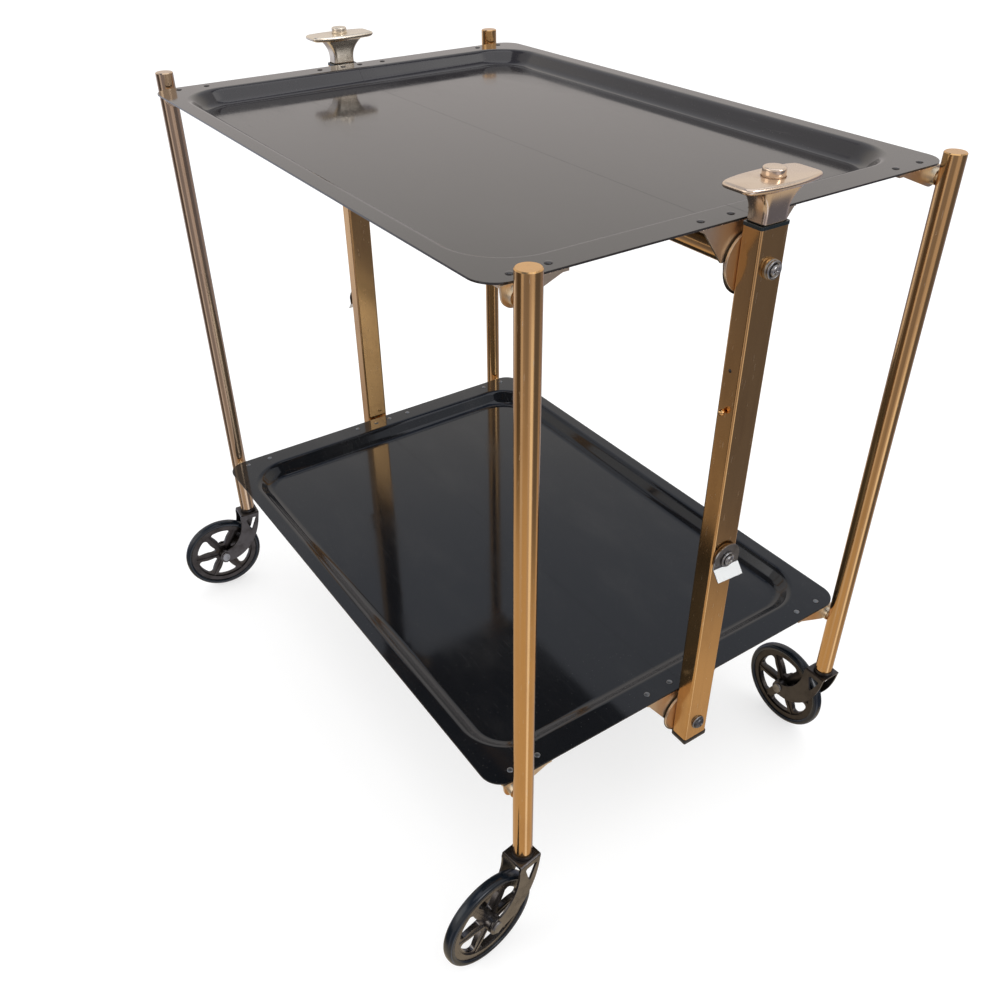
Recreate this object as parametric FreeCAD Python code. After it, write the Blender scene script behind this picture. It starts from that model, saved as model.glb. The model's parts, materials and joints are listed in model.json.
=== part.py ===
import FreeCAD, Part
import math
import os

# Folding two-tray trolley on four swivel casters, in millimetres.
# X runs along the trays with the near handle at +X, Y runs across them, Z is up,
# and the origin is on the floor under the middle. Left is -Y and right is +Y.

# Trays: each is two pressed sheet halves that meet along the middle line
tray_length = 620.0
tray_width = 445.0
tray_sheet = 1.6
tray_corner_radius = 21.0
end_flange = 24.0
side_flange = 12.5
recess_depth = 14.0
recess_corner_radius = 52.0
wall_angle = 50.0
wall_top_radius = 3.0
wall_foot_radius = 9.0
seam_gap = 0.6
upper_rim_height = 651.0
tray_spacing = 461.0

# Legs and centre bars
leg_radius = 9.0
leg_wall = 1.5
leg_spread = 404.6
leg_gap = 6.0
leg_above_rim = 15.0
leg_top_bevel = 0.8
bar_depth = 18.3
bar_width = 27.4
bar_wall = 1.6
bar_corner_radius = 2.2
bar_gap = 3.6
bar_below_rim = 1.5
bar_below_pivot = 22.5
end_cap_height = 3.0
end_cap_plug = 10.0
gasket_height = 2.7
gasket_overhang = 0.3

# Centre hinges
pivot_drop = 30.5
eye_radius = 19.0
bracket_sheet = 2.0
bracket_tab = 20.0
hinge_web_start = 4.0
hinge_web_end = 47.0
disc_radius = 24.0
disc_thickness = 2.2
washer_radius = 26.5
washer_thickness = 1.2
side_play = 0.3
eye_gap = 0.5
spigot_radius = 5.0
running_clearance = 0.05
loose_clearance = 0.1
cross_tube_radius = 9.0

# Leg hinges at the tray corners
folded_leg_gap = 0.8
ear_radius = 9.0
ear_margin = 0.8
corner_web_length = 52.0
leg_pin_radius = 4.0
leg_pin_reach = 7.0
leg_pin_shoulder_radius = 6.5
leg_pin_shoulder_gap = 0.3

# Handles
handle_half_length = 36.8
handle_end_half_width = 12.8
handle_mid_half_width = 18.2
handle_plate = 5.5
handle_corner_radius = 3.0
handle_edge_bevel = 0.9
neck_height = 25.3
neck_width = 24.0
neck_depth = 17.5
neck_waist = 1.4
neck_flare = 5.5
neck_curve = 5.0
neck_steps = 5
handle_plug_length = 15.0

# Push buttons, release rods and their springs
button_radius = 8.2
button_rise = 6.0
button_length = 12.5
button_bevel = 1.0
button_bore_depth = 18.5
button_travel = 5.0
button_clearance = 0.3
spring_outer_radius = 7.6
spring_wall = 1.0
rod_width = 12.0
rod_thickness = 3.0
rod_below_pivot = 30.5
catch_pin_radius = 2.0
catch_clearance = 0.4
catch_notch_depth = 2.6
slot_clearance = 0.3

# Leg clasps on the bars
clasp_below_pivot = 256.5
clasp_radius = 15.0
clasp_bend_drop = 7.0
clasp_tab = 12.0
clasp_tab_angle = 40.0
clasp_sheet = 1.2
clasp_tilt = 8.0
clasp_leg_gap = 0.5
clasp_pin_radius = 3.0

# Casters
wheel_radius = 50.5
tyre_width = 18.0
tyre_depth = 9.5
tyre_shoulder = 3.5
rim_width = 14.0
rim_depth = 3.0
web_width = 9.0
window_margin = 2.0
spoke_count = 6
spoke_root = 7.5
spoke_bulge = 9.6
spoke_tip = 5.0
spoke_bulge_radius = 19.0
spoke_rib_width = 2.0
spoke_rib_height = 1.2
window_inner_corner = 1.5
window_outer_corner = 4.0
hub_radius = 12.0
axle_radius = 4.0
axle_head_radius = 6.0
axle_head_height = 2.4
caster_trail = 43.5
fork_sheet = 2.6
fork_gap = 23.0
fork_front = 17.0
fork_back = 19.0
fork_plate_clearance = 0.4
fork_crown_gap = 4.3
fork_shoulder = 6.0
fork_hub_radius = 9.5
fork_hub_angle = 115.0
fork_front_bow = 3.5
fork_front_bow_angle = 162.5
fork_back_inset = 12.4
fork_back_bow_angle = 132.0
fork_bend_radius = 1.8
fork_window_width = 21.0
fork_window_height = 21.0
fork_window_margin = 4.5
fork_window_corner = 1.8
fork_window_lean = 0.4
hub_side_clearance = 0.8
stem_radius = 4.0
stem_length = 34.0
bush_flange_radius = 10.0
bush_flange = 3.7
bush_length = 38.0

# How far a cut runs past the face that it opens, and a distance that counts as touching
cut_past = 1.0
touching = 0.01

# The way each caster trails, in degrees from +X
near_left_angle = -82.0
near_right_angle = 179.0
far_left_angle = -95.0
far_right_angle = 98.0

# Places worked out from the sizes above
half_length = tray_length / 2
half_width = tray_width / 2
seam = seam_gap / 2
flange_line_x = half_length - end_flange
flange_line_y = half_width - side_flange
lower_rim_height = upper_rim_height - tray_spacing
rim_heights = {"upper": upper_rim_height, "lower": lower_rim_height}
upper_pivot = upper_rim_height - pivot_drop
lower_pivot = lower_rim_height - pivot_drop
leg_x = half_length + leg_gap + leg_radius
leg_y = leg_spread / 2
leg_top = upper_rim_height + leg_above_rim
bar_inner = half_length + bar_gap
bar_outer = bar_inner + bar_depth
bar_middle = bar_inner + bar_depth / 2
bar_top = upper_rim_height - bar_below_rim
bar_bottom = lower_pivot - bar_below_pivot
leg_pivot_offset = bar_width / 2 + leg_radius + folded_leg_gap
leg_pivot_drop = pivot_drop - leg_pivot_offset
outer_web = bar_inner - disc_thickness - washer_thickness - side_play
inner_web = outer_web - bracket_sheet - eye_gap
tube_shoulder = inner_web - bracket_sheet - side_play
eye_bore = spigot_radius + running_clearance
gasket_top = bar_top + gasket_height
plug_x = bar_depth / 2 - bar_wall - loose_clearance
plug_y = bar_width / 2 - bar_wall - loose_clearance
catch_pin_height = upper_pivot - eye_radius - catch_clearance - catch_pin_radius
catch_slot_top = catch_pin_height + catch_pin_radius + slot_clearance
catch_slot_width = 2 * catch_pin_radius + 2 * slot_clearance
handle_underside = gasket_top + neck_height
handle_top = handle_underside + handle_plate
button_top = handle_top + button_rise
button_underside = button_top - button_length
spring_seat = handle_top - button_bore_depth
rod_bottom = upper_pivot - rod_below_pivot
clasp_height = upper_pivot - clasp_below_pivot
clasp_plate = leg_x + leg_radius + clasp_leg_gap
fork_plate_top = 2 * wheel_radius + fork_crown_gap + fork_sheet
leg_foot_height = fork_plate_top + fork_plate_clearance + bush_flange
hub_half = fork_gap / 2 - hub_side_clearance
caster_angles = {
    "near_left": near_left_angle,
    "near_right": near_right_angle,
    "far_left": far_left_angle,
    "far_right": far_right_angle,
}


def vec(x, y, z):
    return FreeCAD.Vector(x, y, z)


X_AXIS = vec(1, 0, 0)
Y_AXIS = vec(0, 1, 0)
Z_AXIS = vec(0, 0, 1)
ORIGIN = vec(0, 0, 0)


def block(low, high):
    """A box between two corners."""
    size = [b - a for a, b in zip(low, high)]
    return Part.makeBox(size[0], size[1], size[2], vec(*low))


def rod_along(axis, start, radius, length):
    """A round rod from start along an axis."""
    return Part.makeCylinder(radius, length, start, axis)


def polygon(points):
    """A flat face through a list of points."""
    return Part.Face(Part.makePolygon(points + points[:1]))


def face_of(edges):
    """A flat face inside a loop of edges."""
    return Part.Face(Part.Wire(edges))


def line(a, b):
    return Part.makeLine(a, b)


def arc(a, b, c):
    return Part.Arc(a, b, c).toShape()


def turned(profile, centre, axis, place):
    """A solid of revolution: profile points are (along, radius) pairs put in place."""
    return polygon([place(*p) for p in profile]).revolve(centre, axis, 360)


def turned_on_x(profile, y, z):
    """A turned solid about the line along X at y, z."""
    return turned(profile, vec(0, y, z), X_AXIS, lambda along, r: vec(along, y, z + r))


def turned_on_z(profile, x, y):
    """A turned solid about the upright line at x, y."""
    return turned(profile, vec(x, y, 0), Z_AXIS, lambda along, r: vec(x + r, y, along))


def in_far_end(shape):
    """The same piece at the far end, where the ends are mirror images."""
    return shape.mirror(ORIGIN, X_AXIS)


def half_turn(shape):
    """The same piece turned half a turn about the upright middle line."""
    copy = shape.copy()
    copy.rotate(ORIGIN, Z_AXIS, 180)
    return copy


def raised(shape, height):
    copy = shape.copy()
    copy.translate(vec(0, 0, height))
    return copy


def rounded_rectangle(half_x, half_y, radius, height):
    """A face with four round corners, centred on the upright middle line."""
    flat_x, flat_y = half_x - radius, half_y - radius
    bow = radius * math.sqrt(0.5)
    z = height
    return face_of([
        line(vec(-flat_x, -half_y, z), vec(flat_x, -half_y, z)),
        arc(vec(flat_x, -half_y, z), vec(flat_x + bow, -flat_y - bow, z), vec(half_x, -flat_y, z)),
        line(vec(half_x, -flat_y, z), vec(half_x, flat_y, z)),
        arc(vec(half_x, flat_y, z), vec(flat_x + bow, flat_y + bow, z), vec(flat_x, half_y, z)),
        line(vec(flat_x, half_y, z), vec(-flat_x, half_y, z)),
        arc(vec(-flat_x, half_y, z), vec(-flat_x - bow, flat_y + bow, z), vec(-half_x, flat_y, z)),
        line(vec(-half_x, flat_y, z), vec(-half_x, -flat_y, z)),
        arc(vec(-half_x, -flat_y, z), vec(-flat_x - bow, -flat_y - bow, z), vec(-flat_x, -half_y, z)),
    ])


# ---------------------------------------------------------------- trays

def wall_run():
    """How far the recess wall runs inwards from the flange line."""
    bends = 2 * wall_top_radius + tray_sheet + 2 * wall_foot_radius + tray_sheet
    angle = math.radians(wall_angle)
    slope = (recess_depth - bends / 2 * (1 - math.cos(angle))) / math.sin(angle)
    return bends / 2 * math.sin(angle) + slope * math.cos(angle)


def wall_surface(top_radius, foot_radius, height, place):
    """One side of the wall's section: a bend, a slope and a bend, as points placed in space."""
    angle = math.radians(wall_angle)
    run = wall_run()

    def top_bend(a):
        return place(top_radius * math.sin(a), height - top_radius * (1 - math.cos(a)))

    def foot_bend(a):
        return place(run - foot_radius * math.sin(a),
                     height - recess_depth + foot_radius * (1 - math.cos(a)))

    return [top_bend(0), top_bend(angle / 2), top_bend(angle),
            foot_bend(angle), foot_bend(angle / 2), foot_bend(0)]


def wall_section(place):
    """The closed section of the recess wall, placed by a function of (inwards, height)."""
    top = wall_surface(wall_top_radius + tray_sheet, wall_foot_radius, tray_sheet, place)
    under = wall_surface(wall_top_radius, wall_foot_radius + tray_sheet, 0, place)
    return face_of([
        arc(top[0], top[1], top[2]), line(top[2], top[3]), arc(top[3], top[4], top[5]),
        line(top[5], under[5]),
        arc(under[5], under[4], under[3]), line(under[3], under[2]), arc(under[2], under[1], under[0]),
        line(under[0], top[0]),
    ])


def left_of_seam(shape):
    """Keeps what lies on the left of the seam."""
    reach = tray_length + tray_width
    return shape.common(block((-reach, -reach, -reach), (reach, -seam, reach)))


def left_tray_half():
    """One pressed half, with its rim's underside at height 0: flange, wall and floor."""
    radius = recess_corner_radius
    corner_x, corner_y = flange_line_x - radius, flange_line_y - radius
    run = wall_run()
    plate = rounded_rectangle(half_length, half_width, tray_corner_radius, 0)
    hole = rounded_rectangle(flange_line_x, flange_line_y, radius, 0)
    flange = plate.cut(hole).extrude(vec(0, 0, tray_sheet))
    floor = rounded_rectangle(flange_line_x - run, flange_line_y - run, radius - run, -recess_depth)
    floor = floor.extrude(vec(0, 0, tray_sheet))
    side = wall_section(lambda w, z: vec(-corner_x, w - flange_line_y, z))
    side = side.extrude(vec(2 * corner_x, 0, 0))
    pieces = [side, left_of_seam(floor)]
    for sign in (1, -1):
        end = wall_section(lambda w, z: vec(sign * (flange_line_x - w), -corner_y, z))
        pieces.append(end.extrude(vec(0, corner_y - seam, 0)))
        corner = wall_section(lambda w, z: vec(sign * (flange_line_x - w), -corner_y, z))
        pieces.append(corner.revolve(vec(sign * corner_x, -corner_y, 0), Z_AXIS, -sign * 90))
    return left_of_seam(flange).fuse(pieces).removeSplitter()


def right_of(shape, side):
    """A piece made for the left side, put on its own side."""
    return half_turn(shape) if side == "right" else shape


# ---------------------------------------------------------------- brackets

def tangent_point(point, centre, radius, side):
    """Where a line from point touches a circle, on one side of the line of centres."""
    dy, dz = centre[0] - point[0], centre[1] - point[1]
    distance = math.hypot(dy, dz)
    angle = math.atan2(dz, dy) + side * math.asin(radius / distance)
    reach = math.sqrt(distance ** 2 - radius ** 2)
    return point[0] + reach * math.cos(angle), point[1] + reach * math.sin(angle)


def web_with_eye(start, end, centre, radius, web_x):
    """An upright web that narrows from the rim to a round eye."""
    touch_a = tangent_point((start, 0), centre, radius, 1)
    touch_b = tangent_point((end, 0), centre, radius, -1)
    bottom = (centre[0], centre[1] - radius)
    points = [vec(web_x, y, z) for y, z in ((start, 0), touch_a, bottom, touch_b, (end, 0))]
    outline = face_of([
        line(points[0], points[1]), arc(points[1], points[2], points[3]),
        line(points[3], points[4]), line(points[4], points[0]),
    ])
    return outline.extrude(vec(bracket_sheet, 0, 0))


def catch_track(web_x, own_side):
    """What is cleared from an eye's rim so that it can turn past the catch pin."""
    reach = eye_radius + 2 * catch_pin_radius + 2 * catch_clearance + button_travel
    ring = rod_along(X_AXIS, vec(web_x, 0, -pivot_drop), reach, bracket_sheet)
    ring = ring.cut(rod_along(X_AXIS, vec(web_x, 0, -pivot_drop), eye_radius, bracket_sheet))
    above = pivot_drop - catch_pin_radius - slot_clearance
    low_y, high_y = sorted((0, own_side * reach))
    quarter = block((web_x, low_y, -reach - pivot_drop), (web_x + bracket_sheet, high_y, -above))
    notch = block((web_x, -catch_slot_width / 2, -pivot_drop - eye_radius - cut_past),
                  (web_x + bracket_sheet, catch_slot_width / 2,
                   -pivot_drop - eye_radius + catch_notch_depth))
    return ring.common(quarter).fuse(notch)


def hinge_bracket(web_outer_face, with_catch):
    """The left half's centre bracket at the near end: a tab under the rim and a web with its eye."""
    web_x = web_outer_face - bracket_sheet
    tab = block((web_outer_face - bracket_tab, -hinge_web_end, -bracket_sheet),
                (web_outer_face, -hinge_web_start, 0))
    web = web_with_eye(-hinge_web_start, -hinge_web_end, (0, -pivot_drop), eye_radius, web_x)
    bracket = tab.fuse(web).removeSplitter()
    bracket = bracket.cut(rod_along(X_AXIS, vec(web_x, 0, -pivot_drop), eye_bore, bracket_sheet))
    if with_catch:
        bracket = bracket.cut(catch_track(web_x, -1))
    return bracket


def corner_bracket():
    """The left half's leg bracket at the near end: a tab, and a web whose ear carries the leg's pin."""
    web_x = outer_web - bracket_sheet
    end = -leg_y - ear_radius - ear_margin
    start = end + corner_web_length
    tab = block((outer_web - bracket_tab, end, -bracket_sheet), (outer_web, start, 0))
    web = web_with_eye(start, end, (-leg_y, -leg_pivot_drop), ear_radius, web_x)
    leg_face = leg_x - leg_radius
    shoulder, tip = leg_face - leg_pin_shoulder_gap, leg_face + leg_pin_reach
    pin = turned_on_x([(web_x, 0), (web_x, leg_pin_shoulder_radius), (shoulder, leg_pin_shoulder_radius),
                       (shoulder, leg_pin_radius), (tip, leg_pin_radius), (tip, 0)],
                      -leg_y, -leg_pivot_drop)
    under_tray = rounded_rectangle(half_length, half_width, tray_corner_radius, -bracket_sheet)
    tab = tab.common(under_tray.extrude(vec(0, 0, bracket_sheet)))
    return tab.fuse([web, pin]).removeSplitter()


def brackets(side, level):
    """The four brackets of one tray half, two at each end."""
    web_face = outer_web if side == "left" else inner_web
    near = [hinge_bracket(web_face, level == "upper"), corner_bracket()]
    both_ends = near + [in_far_end(b) for b in near]
    return Part.makeCompound([raised(right_of(b, side), rim_heights[level]) for b in both_ends])


# ---------------------------------------------------------------- centre frame

def bar():
    """The upright rectangular tube at the near end, with its catch slot and clasp hole."""
    outer = rounded_rectangle(bar_depth / 2, bar_width / 2, bar_corner_radius, bar_bottom)
    tube = outer.extrude(vec(0, 0, bar_top - bar_bottom))
    hollow_x, hollow_y = bar_depth / 2 - bar_wall, bar_width / 2 - bar_wall
    tube = tube.cut(block((-hollow_x, -hollow_y, bar_bottom), (hollow_x, hollow_y, bar_top)))
    tube.translate(vec(bar_middle, 0, 0))
    clasp_hole = rod_along(X_AXIS, vec(bar_middle, 0, clasp_height), clasp_pin_radius, bar_depth)
    return tube.cut([catch_slot(), clasp_hole])


def catch_slot():
    """The upright slot in the bar's inner wall that the catch pin moves down in."""
    bottom = catch_slot_top - catch_slot_width - button_travel
    half = catch_slot_width / 2
    return block((bar_inner - cut_past, -half, bottom),
                 (bar_inner + bar_wall + cut_past, half, catch_slot_top))


def cross_tube(level):
    """A round tube from bar to bar, its closed ends turned down to the spigots that the eyes turn on."""
    spigot_end = outer_web + side_play
    half = [(spigot_end, 0), (spigot_end, spigot_radius), (tube_shoulder, spigot_radius),
            (tube_shoulder, cross_tube_radius)]
    profile = [(-along, r) for along, r in half] + half[::-1]
    return turned_on_x(profile, 0, rim_heights[level] - pivot_drop)


def cross_tubes():
    return Part.makeCompound([cross_tube(level) for level in rim_heights])


def at_each_pivot(piece):
    """One compound of a piece made at the near end, repeated at both ends of both pivots."""
    solids = []
    for rim in rim_heights.values():
        near = piece(rim - pivot_drop)
        solids += [near, in_far_end(near)]
    return Part.makeCompound(solids)


def disc_on_x(start, thickness, radius, z):
    return rod_along(X_AXIS, vec(start, 0, z), radius, thickness)


def open_slot(shape, z):
    """Cuts the catch pin's slot, open at the rim, in the upper hinge's ring."""
    if z < lower_rim_height:
        return shape
    low = z - washer_radius - cut_past
    half = catch_slot_width / 2
    return shape.cut(block((0, -half, low), (bar_outer, half, catch_slot_top)))


def hinge_disc(z):
    """The round disc on the bar's inner face."""
    start = bar_inner - disc_thickness
    return open_slot(disc_on_x(start, disc_thickness, disc_radius, z), z)


def hinge_washer(z):
    """The thin dark washer between the disc and the outer eye."""
    start = bar_inner - disc_thickness - washer_thickness
    return open_slot(disc_on_x(start, washer_thickness, washer_radius, z), z)


def bar_end_cap():
    """The plastic cap in the bar's foot."""
    lip = rounded_rectangle(bar_depth / 2, bar_width / 2, bar_corner_radius, bar_bottom - end_cap_height)
    lip = lip.extrude(vec(0, 0, end_cap_height))
    plug = block((-plug_x, -plug_y, bar_bottom), (plug_x, plug_y, bar_bottom + end_cap_plug))
    cap = lip.fuse(plug)
    cap.translate(vec(bar_middle, 0, 0))
    return cap


def bar_gasket():
    """The rubber ring between the bar's top and the handle."""
    ring = rounded_rectangle(bar_depth / 2 + gasket_overhang, bar_width / 2 + gasket_overhang,
                             bar_corner_radius, bar_top)
    hole_x, hole_y = plug_x + loose_clearance, plug_y + loose_clearance
    ring = ring.extrude(vec(0, 0, gasket_height))
    ring = ring.cut(block((-hole_x, -hole_y, bar_top), (hole_x, hole_y, gasket_top)))
    ring.translate(vec(bar_middle, 0, 0))
    return ring


def pair(shape):
    """One compound of a near piece and its mirror image at the far end."""
    return Part.makeCompound([shape, in_far_end(shape)])


# ---------------------------------------------------------------- handles and buttons

def handle_outline(height):
    """The six-sided plan of the handle's plate with bowed long edges, centred on the bar."""
    end, half, mid = handle_half_length, handle_end_half_width, handle_mid_half_width
    a, b, c, d = (vec(-half, -end, height), vec(half, -end, height),
                  vec(half, end, height), vec(-half, end, height))
    return face_of([
        line(a, b), arc(b, vec(mid, 0, height), c), line(c, d), arc(d, vec(-mid, 0, height), a),
    ])


def handle_plate_solid():
    plate = handle_outline(handle_underside).extrude(vec(0, 0, handle_plate))
    upright = [e for e in plate.Edges if abs(e.Vertexes[0].Z - e.Vertexes[-1].Z) > handle_plate / 2]
    plate = plate.makeFillet(handle_corner_radius, upright)
    top = [e for e in plate.Edges if min(v.Z for v in e.Vertexes) > handle_top - handle_edge_bevel]
    return plate.makeChamfer(handle_edge_bevel, top)


def neck_rectangle(half_x, half_y, height):
    corners = [(-half_x, -half_y), (half_x, -half_y), (half_x, half_y), (-half_x, half_y)]
    points = [vec(x, y, height) for x, y in corners]
    return Part.makePolygon(points + points[:1])


def handle_neck():
    """The neck's concave flare from the gasket up to the plate, as one loft."""
    wires = []
    for step in range(neck_steps + 1):
        share = step / neck_steps
        spread = neck_flare * share ** neck_curve - neck_waist * math.sin(math.pi * share)
        height = gasket_top + share * neck_height
        wires.append(neck_rectangle(neck_depth / 2 + spread / 2, neck_width / 2 + spread, height))
    return Part.makeLoft(wires, True, True)


def handle():
    """The T handle: plate, flared neck and a plug that fits the bar, bored for the button."""
    plug = block((-plug_x, -plug_y, bar_top - handle_plug_length), (plug_x, plug_y, gasket_top))
    body = handle_plate_solid().fuse([handle_neck(), plug]).removeSplitter()
    bore = button_radius + button_clearance
    body = body.cut(rod_along(Z_AXIS, vec(0, 0, spring_seat), bore, button_bore_depth + cut_past))
    slot_x, slot_y = rod_thickness / 2 + slot_clearance, rod_width / 2 + slot_clearance
    body = body.cut(block((-slot_x, -slot_y, bar_top - handle_plug_length), (slot_x, slot_y, spring_seat)))
    body.translate(vec(bar_middle, 0, 0))
    return body


def push_button():
    """The button's bevelled round cap, which rides on the release rod."""
    profile = [(button_underside, 0), (button_underside, button_radius),
               (button_top - button_bevel, button_radius), (button_top, button_radius - button_bevel),
               (button_top, 0)]
    return turned_on_z(profile, bar_middle, 0)


def button_spring():
    """The return spring's sleeve between its seat in the neck and the button's cap."""
    start, height = vec(bar_middle, 0, spring_seat), button_underside - spring_seat
    sleeve = rod_along(Z_AXIS, start, spring_outer_radius, height)
    return sleeve.cut(rod_along(Z_AXIS, start, spring_outer_radius - spring_wall, height))


def release_rod():
    """The flat rod from the button down through the handle, with the catch pin across its foot."""
    half_x, half_y = rod_thickness / 2, rod_width / 2
    strap = block((-half_x, -half_y, rod_bottom), (half_x, half_y, button_underside))
    strap.translate(vec(bar_middle, 0, 0))
    start, length = vec(tube_shoulder, 0, catch_pin_height), bar_middle - tube_shoulder
    return strap.fuse(rod_along(X_AXIS, start, catch_pin_radius, length))


# ---------------------------------------------------------------- leg clasp

def tilted(shape):
    """Turns a clasp piece by its rest tilt about its screw."""
    shape.rotate(vec(0, 0, clasp_height), X_AXIS, clasp_tilt)
    return shape


def leg_clasp():
    """A round-topped plate with a bent tab that turns over a folded leg to hold it."""
    x, r = clasp_plate, clasp_radius
    bend_z = clasp_height - clasp_bend_drop
    points = [vec(x, -r, bend_z), vec(x, -r, clasp_height), vec(x, 0, clasp_height + r),
              vec(x, r, clasp_height), vec(x, r, bend_z)]
    plate = face_of([
        line(points[0], points[1]), arc(points[1], points[2], points[3]),
        line(points[3], points[4]), line(points[4], points[0]),
    ]).extrude(vec(clasp_sheet, 0, 0))
    a = math.radians(clasp_tab_angle)
    out, down = clasp_tab * math.sin(a), clasp_tab * math.cos(a)
    skin = clasp_sheet / math.cos(a)
    tab = polygon([
        vec(x, -r, bend_z), vec(x + out, -r, bend_z - down),
        vec(x + out + skin, -r, bend_z - down), vec(x + skin, -r, bend_z),
    ]).extrude(vec(0, 2 * r, 0))
    hole = rod_along(X_AXIS, vec(x, 0, clasp_height), clasp_pin_radius + running_clearance, clasp_sheet)
    return tilted(plate.fuse(tab).cut(hole))


def clasp_pin():
    """The pin through the bar that the clasp turns on."""
    tip = clasp_plate + clasp_sheet + side_play
    start = bar_outer - 2 * bar_wall
    return rod_along(X_AXIS, vec(start, 0, clasp_height), clasp_pin_radius, tip - start)


# ---------------------------------------------------------------- legs

def leg_tube():
    """The near left leg: a round tube closed at its bevelled top, with a hole for each tray's pin."""
    inner = leg_radius - leg_wall
    profile = [(leg_foot_height, inner), (leg_foot_height, leg_radius),
               (leg_top - leg_top_bevel, leg_radius), (leg_top, leg_radius - leg_top_bevel),
               (leg_top, 0), (leg_top - leg_wall, 0), (leg_top - leg_wall, inner)]
    tube = turned_on_z(profile, leg_x, -leg_y)
    for rim in rim_heights.values():
        start = vec(leg_x - leg_radius - cut_past, -leg_y, rim - leg_pivot_drop)
        tube = tube.cut(rod_along(X_AXIS, start, leg_pin_radius + running_clearance, leg_radius))
    return tube


def caster_bush():
    """The plastic bush in the leg's foot that the caster's stem turns in."""
    outer = leg_radius - leg_wall
    inner = stem_radius + running_clearance
    bottom = leg_foot_height - bush_flange
    top = leg_foot_height + bush_length
    profile = [(bottom, inner), (bottom, bush_flange_radius), (leg_foot_height, bush_flange_radius),
               (leg_foot_height, outer), (top, outer), (top, inner)]
    return turned_on_z(profile, leg_x, -leg_y)


def leg():
    """One leg with its bush, as two solids."""
    return Part.makeCompound([leg_tube(), caster_bush()])


def at_corner(shape, corner):
    """A piece made at the near left corner, put at its own corner."""
    end, side = corner.split("_")
    near = shape if side == "left" else shape.mirror(ORIGIN, Y_AXIS)
    return near if end == "near" else in_far_end(near)


# ---------------------------------------------------------------- casters

def by_axle(radius, degrees, y):
    """A point at a distance and a direction from the axle, in a plane of the wheel."""
    a = math.radians(degrees)
    return vec(caster_trail + radius * math.cos(a), y, wheel_radius + radius * math.sin(a))


def fork_window(y):
    """The rounded triangular window under the fork's plate."""
    sill = fork_plate_top - fork_sheet - fork_window_margin
    left = -fork_front + fork_window_margin
    window = polygon([
        vec(left, y, sill), vec(left + fork_window_width, y, sill),
        vec(left + fork_window_width * fork_window_lean, y, sill - fork_window_height),
    ]).extrude(vec(0, fork_sheet, 0))
    corners = [e for e in window.Edges if abs(e.Vertexes[0].Y - e.Vertexes[-1].Y) > fork_sheet / 2]
    return window.makeFillet(fork_window_corner, corners)


def fork_cheek(y):
    """One arm of the fork, swept back from the top plate to the axle, with its window."""
    top, low = fork_plate_top, fork_plate_top - fork_shoulder
    front_bow = by_axle(wheel_radius + fork_front_bow, fork_front_bow_angle, y)
    back_bow = by_axle(wheel_radius - fork_back_inset, fork_back_bow_angle, y)
    hub_low, hub_end, hub_high = (by_axle(fork_hub_radius, degrees, y)
                                  for degrees in (-fork_hub_angle, 0, fork_hub_angle))
    cheek = face_of([
        line(vec(-fork_front, y, top), vec(-fork_front, y, low)),
        arc(vec(-fork_front, y, low), front_bow, hub_low),
        arc(hub_low, hub_end, hub_high),
        arc(hub_high, back_bow, vec(fork_back, y, low)),
        line(vec(fork_back, y, low), vec(fork_back, y, top)),
        line(vec(fork_back, y, top), vec(-fork_front, y, top)),
    ]).extrude(vec(0, fork_sheet, 0))
    return cheek.cut(fork_window(y))


def caster_fork():
    """The fork with its wheel trailing along +X from the swivel axis: plate, two arms and stem."""
    top, half = fork_plate_top, fork_gap / 2 + fork_sheet
    plate = block((-fork_front, -half, top - fork_sheet), (fork_back, half, top))
    stem = rod_along(Z_AXIS, vec(0, 0, top), stem_radius, bush_flange + stem_length)
    fork = plate.fuse([fork_cheek(fork_gap / 2), fork_cheek(-half), stem]).removeSplitter()
    bent = [e for e in fork.Edges
            if e.CenterOfMass.z > top - touching and abs(e.CenterOfMass.y) > half - touching]
    return Part.makeCompound([fork.makeFillet(fork_bend_radius, bent).cut(axle()), axle()])


def turned_on_axle(profile):
    """A turned solid about the axle, from (across, radius) pairs."""
    centre = vec(caster_trail, 0, wheel_radius)
    return turned(profile, centre, Y_AXIS, lambda along, r: centre + vec(0, along, r))


def tyre():
    """The solid tyre with bevelled shoulders."""
    half, seat = tyre_width / 2, wheel_radius - tyre_depth
    side = [(half, seat), (half, wheel_radius - tyre_shoulder), (half - tyre_shoulder, wheel_radius)]
    return turned_on_axle(side + [(-across, r) for across, r in side[::-1]])


def rounded_upright(window, radius, closer_than, further_than):
    """Rounds a window's corners whose distance from the axle is between two sizes."""
    axle_line = vec(caster_trail, 0, wheel_radius)
    corners = []
    for edge in window.Edges:
        ends = edge.Vertexes[0].Point, edge.Vertexes[-1].Point
        across = vec(ends[0].x, 0, ends[0].z).distanceToPoint(axle_line)
        if abs(ends[0].y - ends[1].y) > fork_gap and further_than < across < closer_than:
            corners.append(edge)
    return window.makeFillet(radius, corners)


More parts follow.
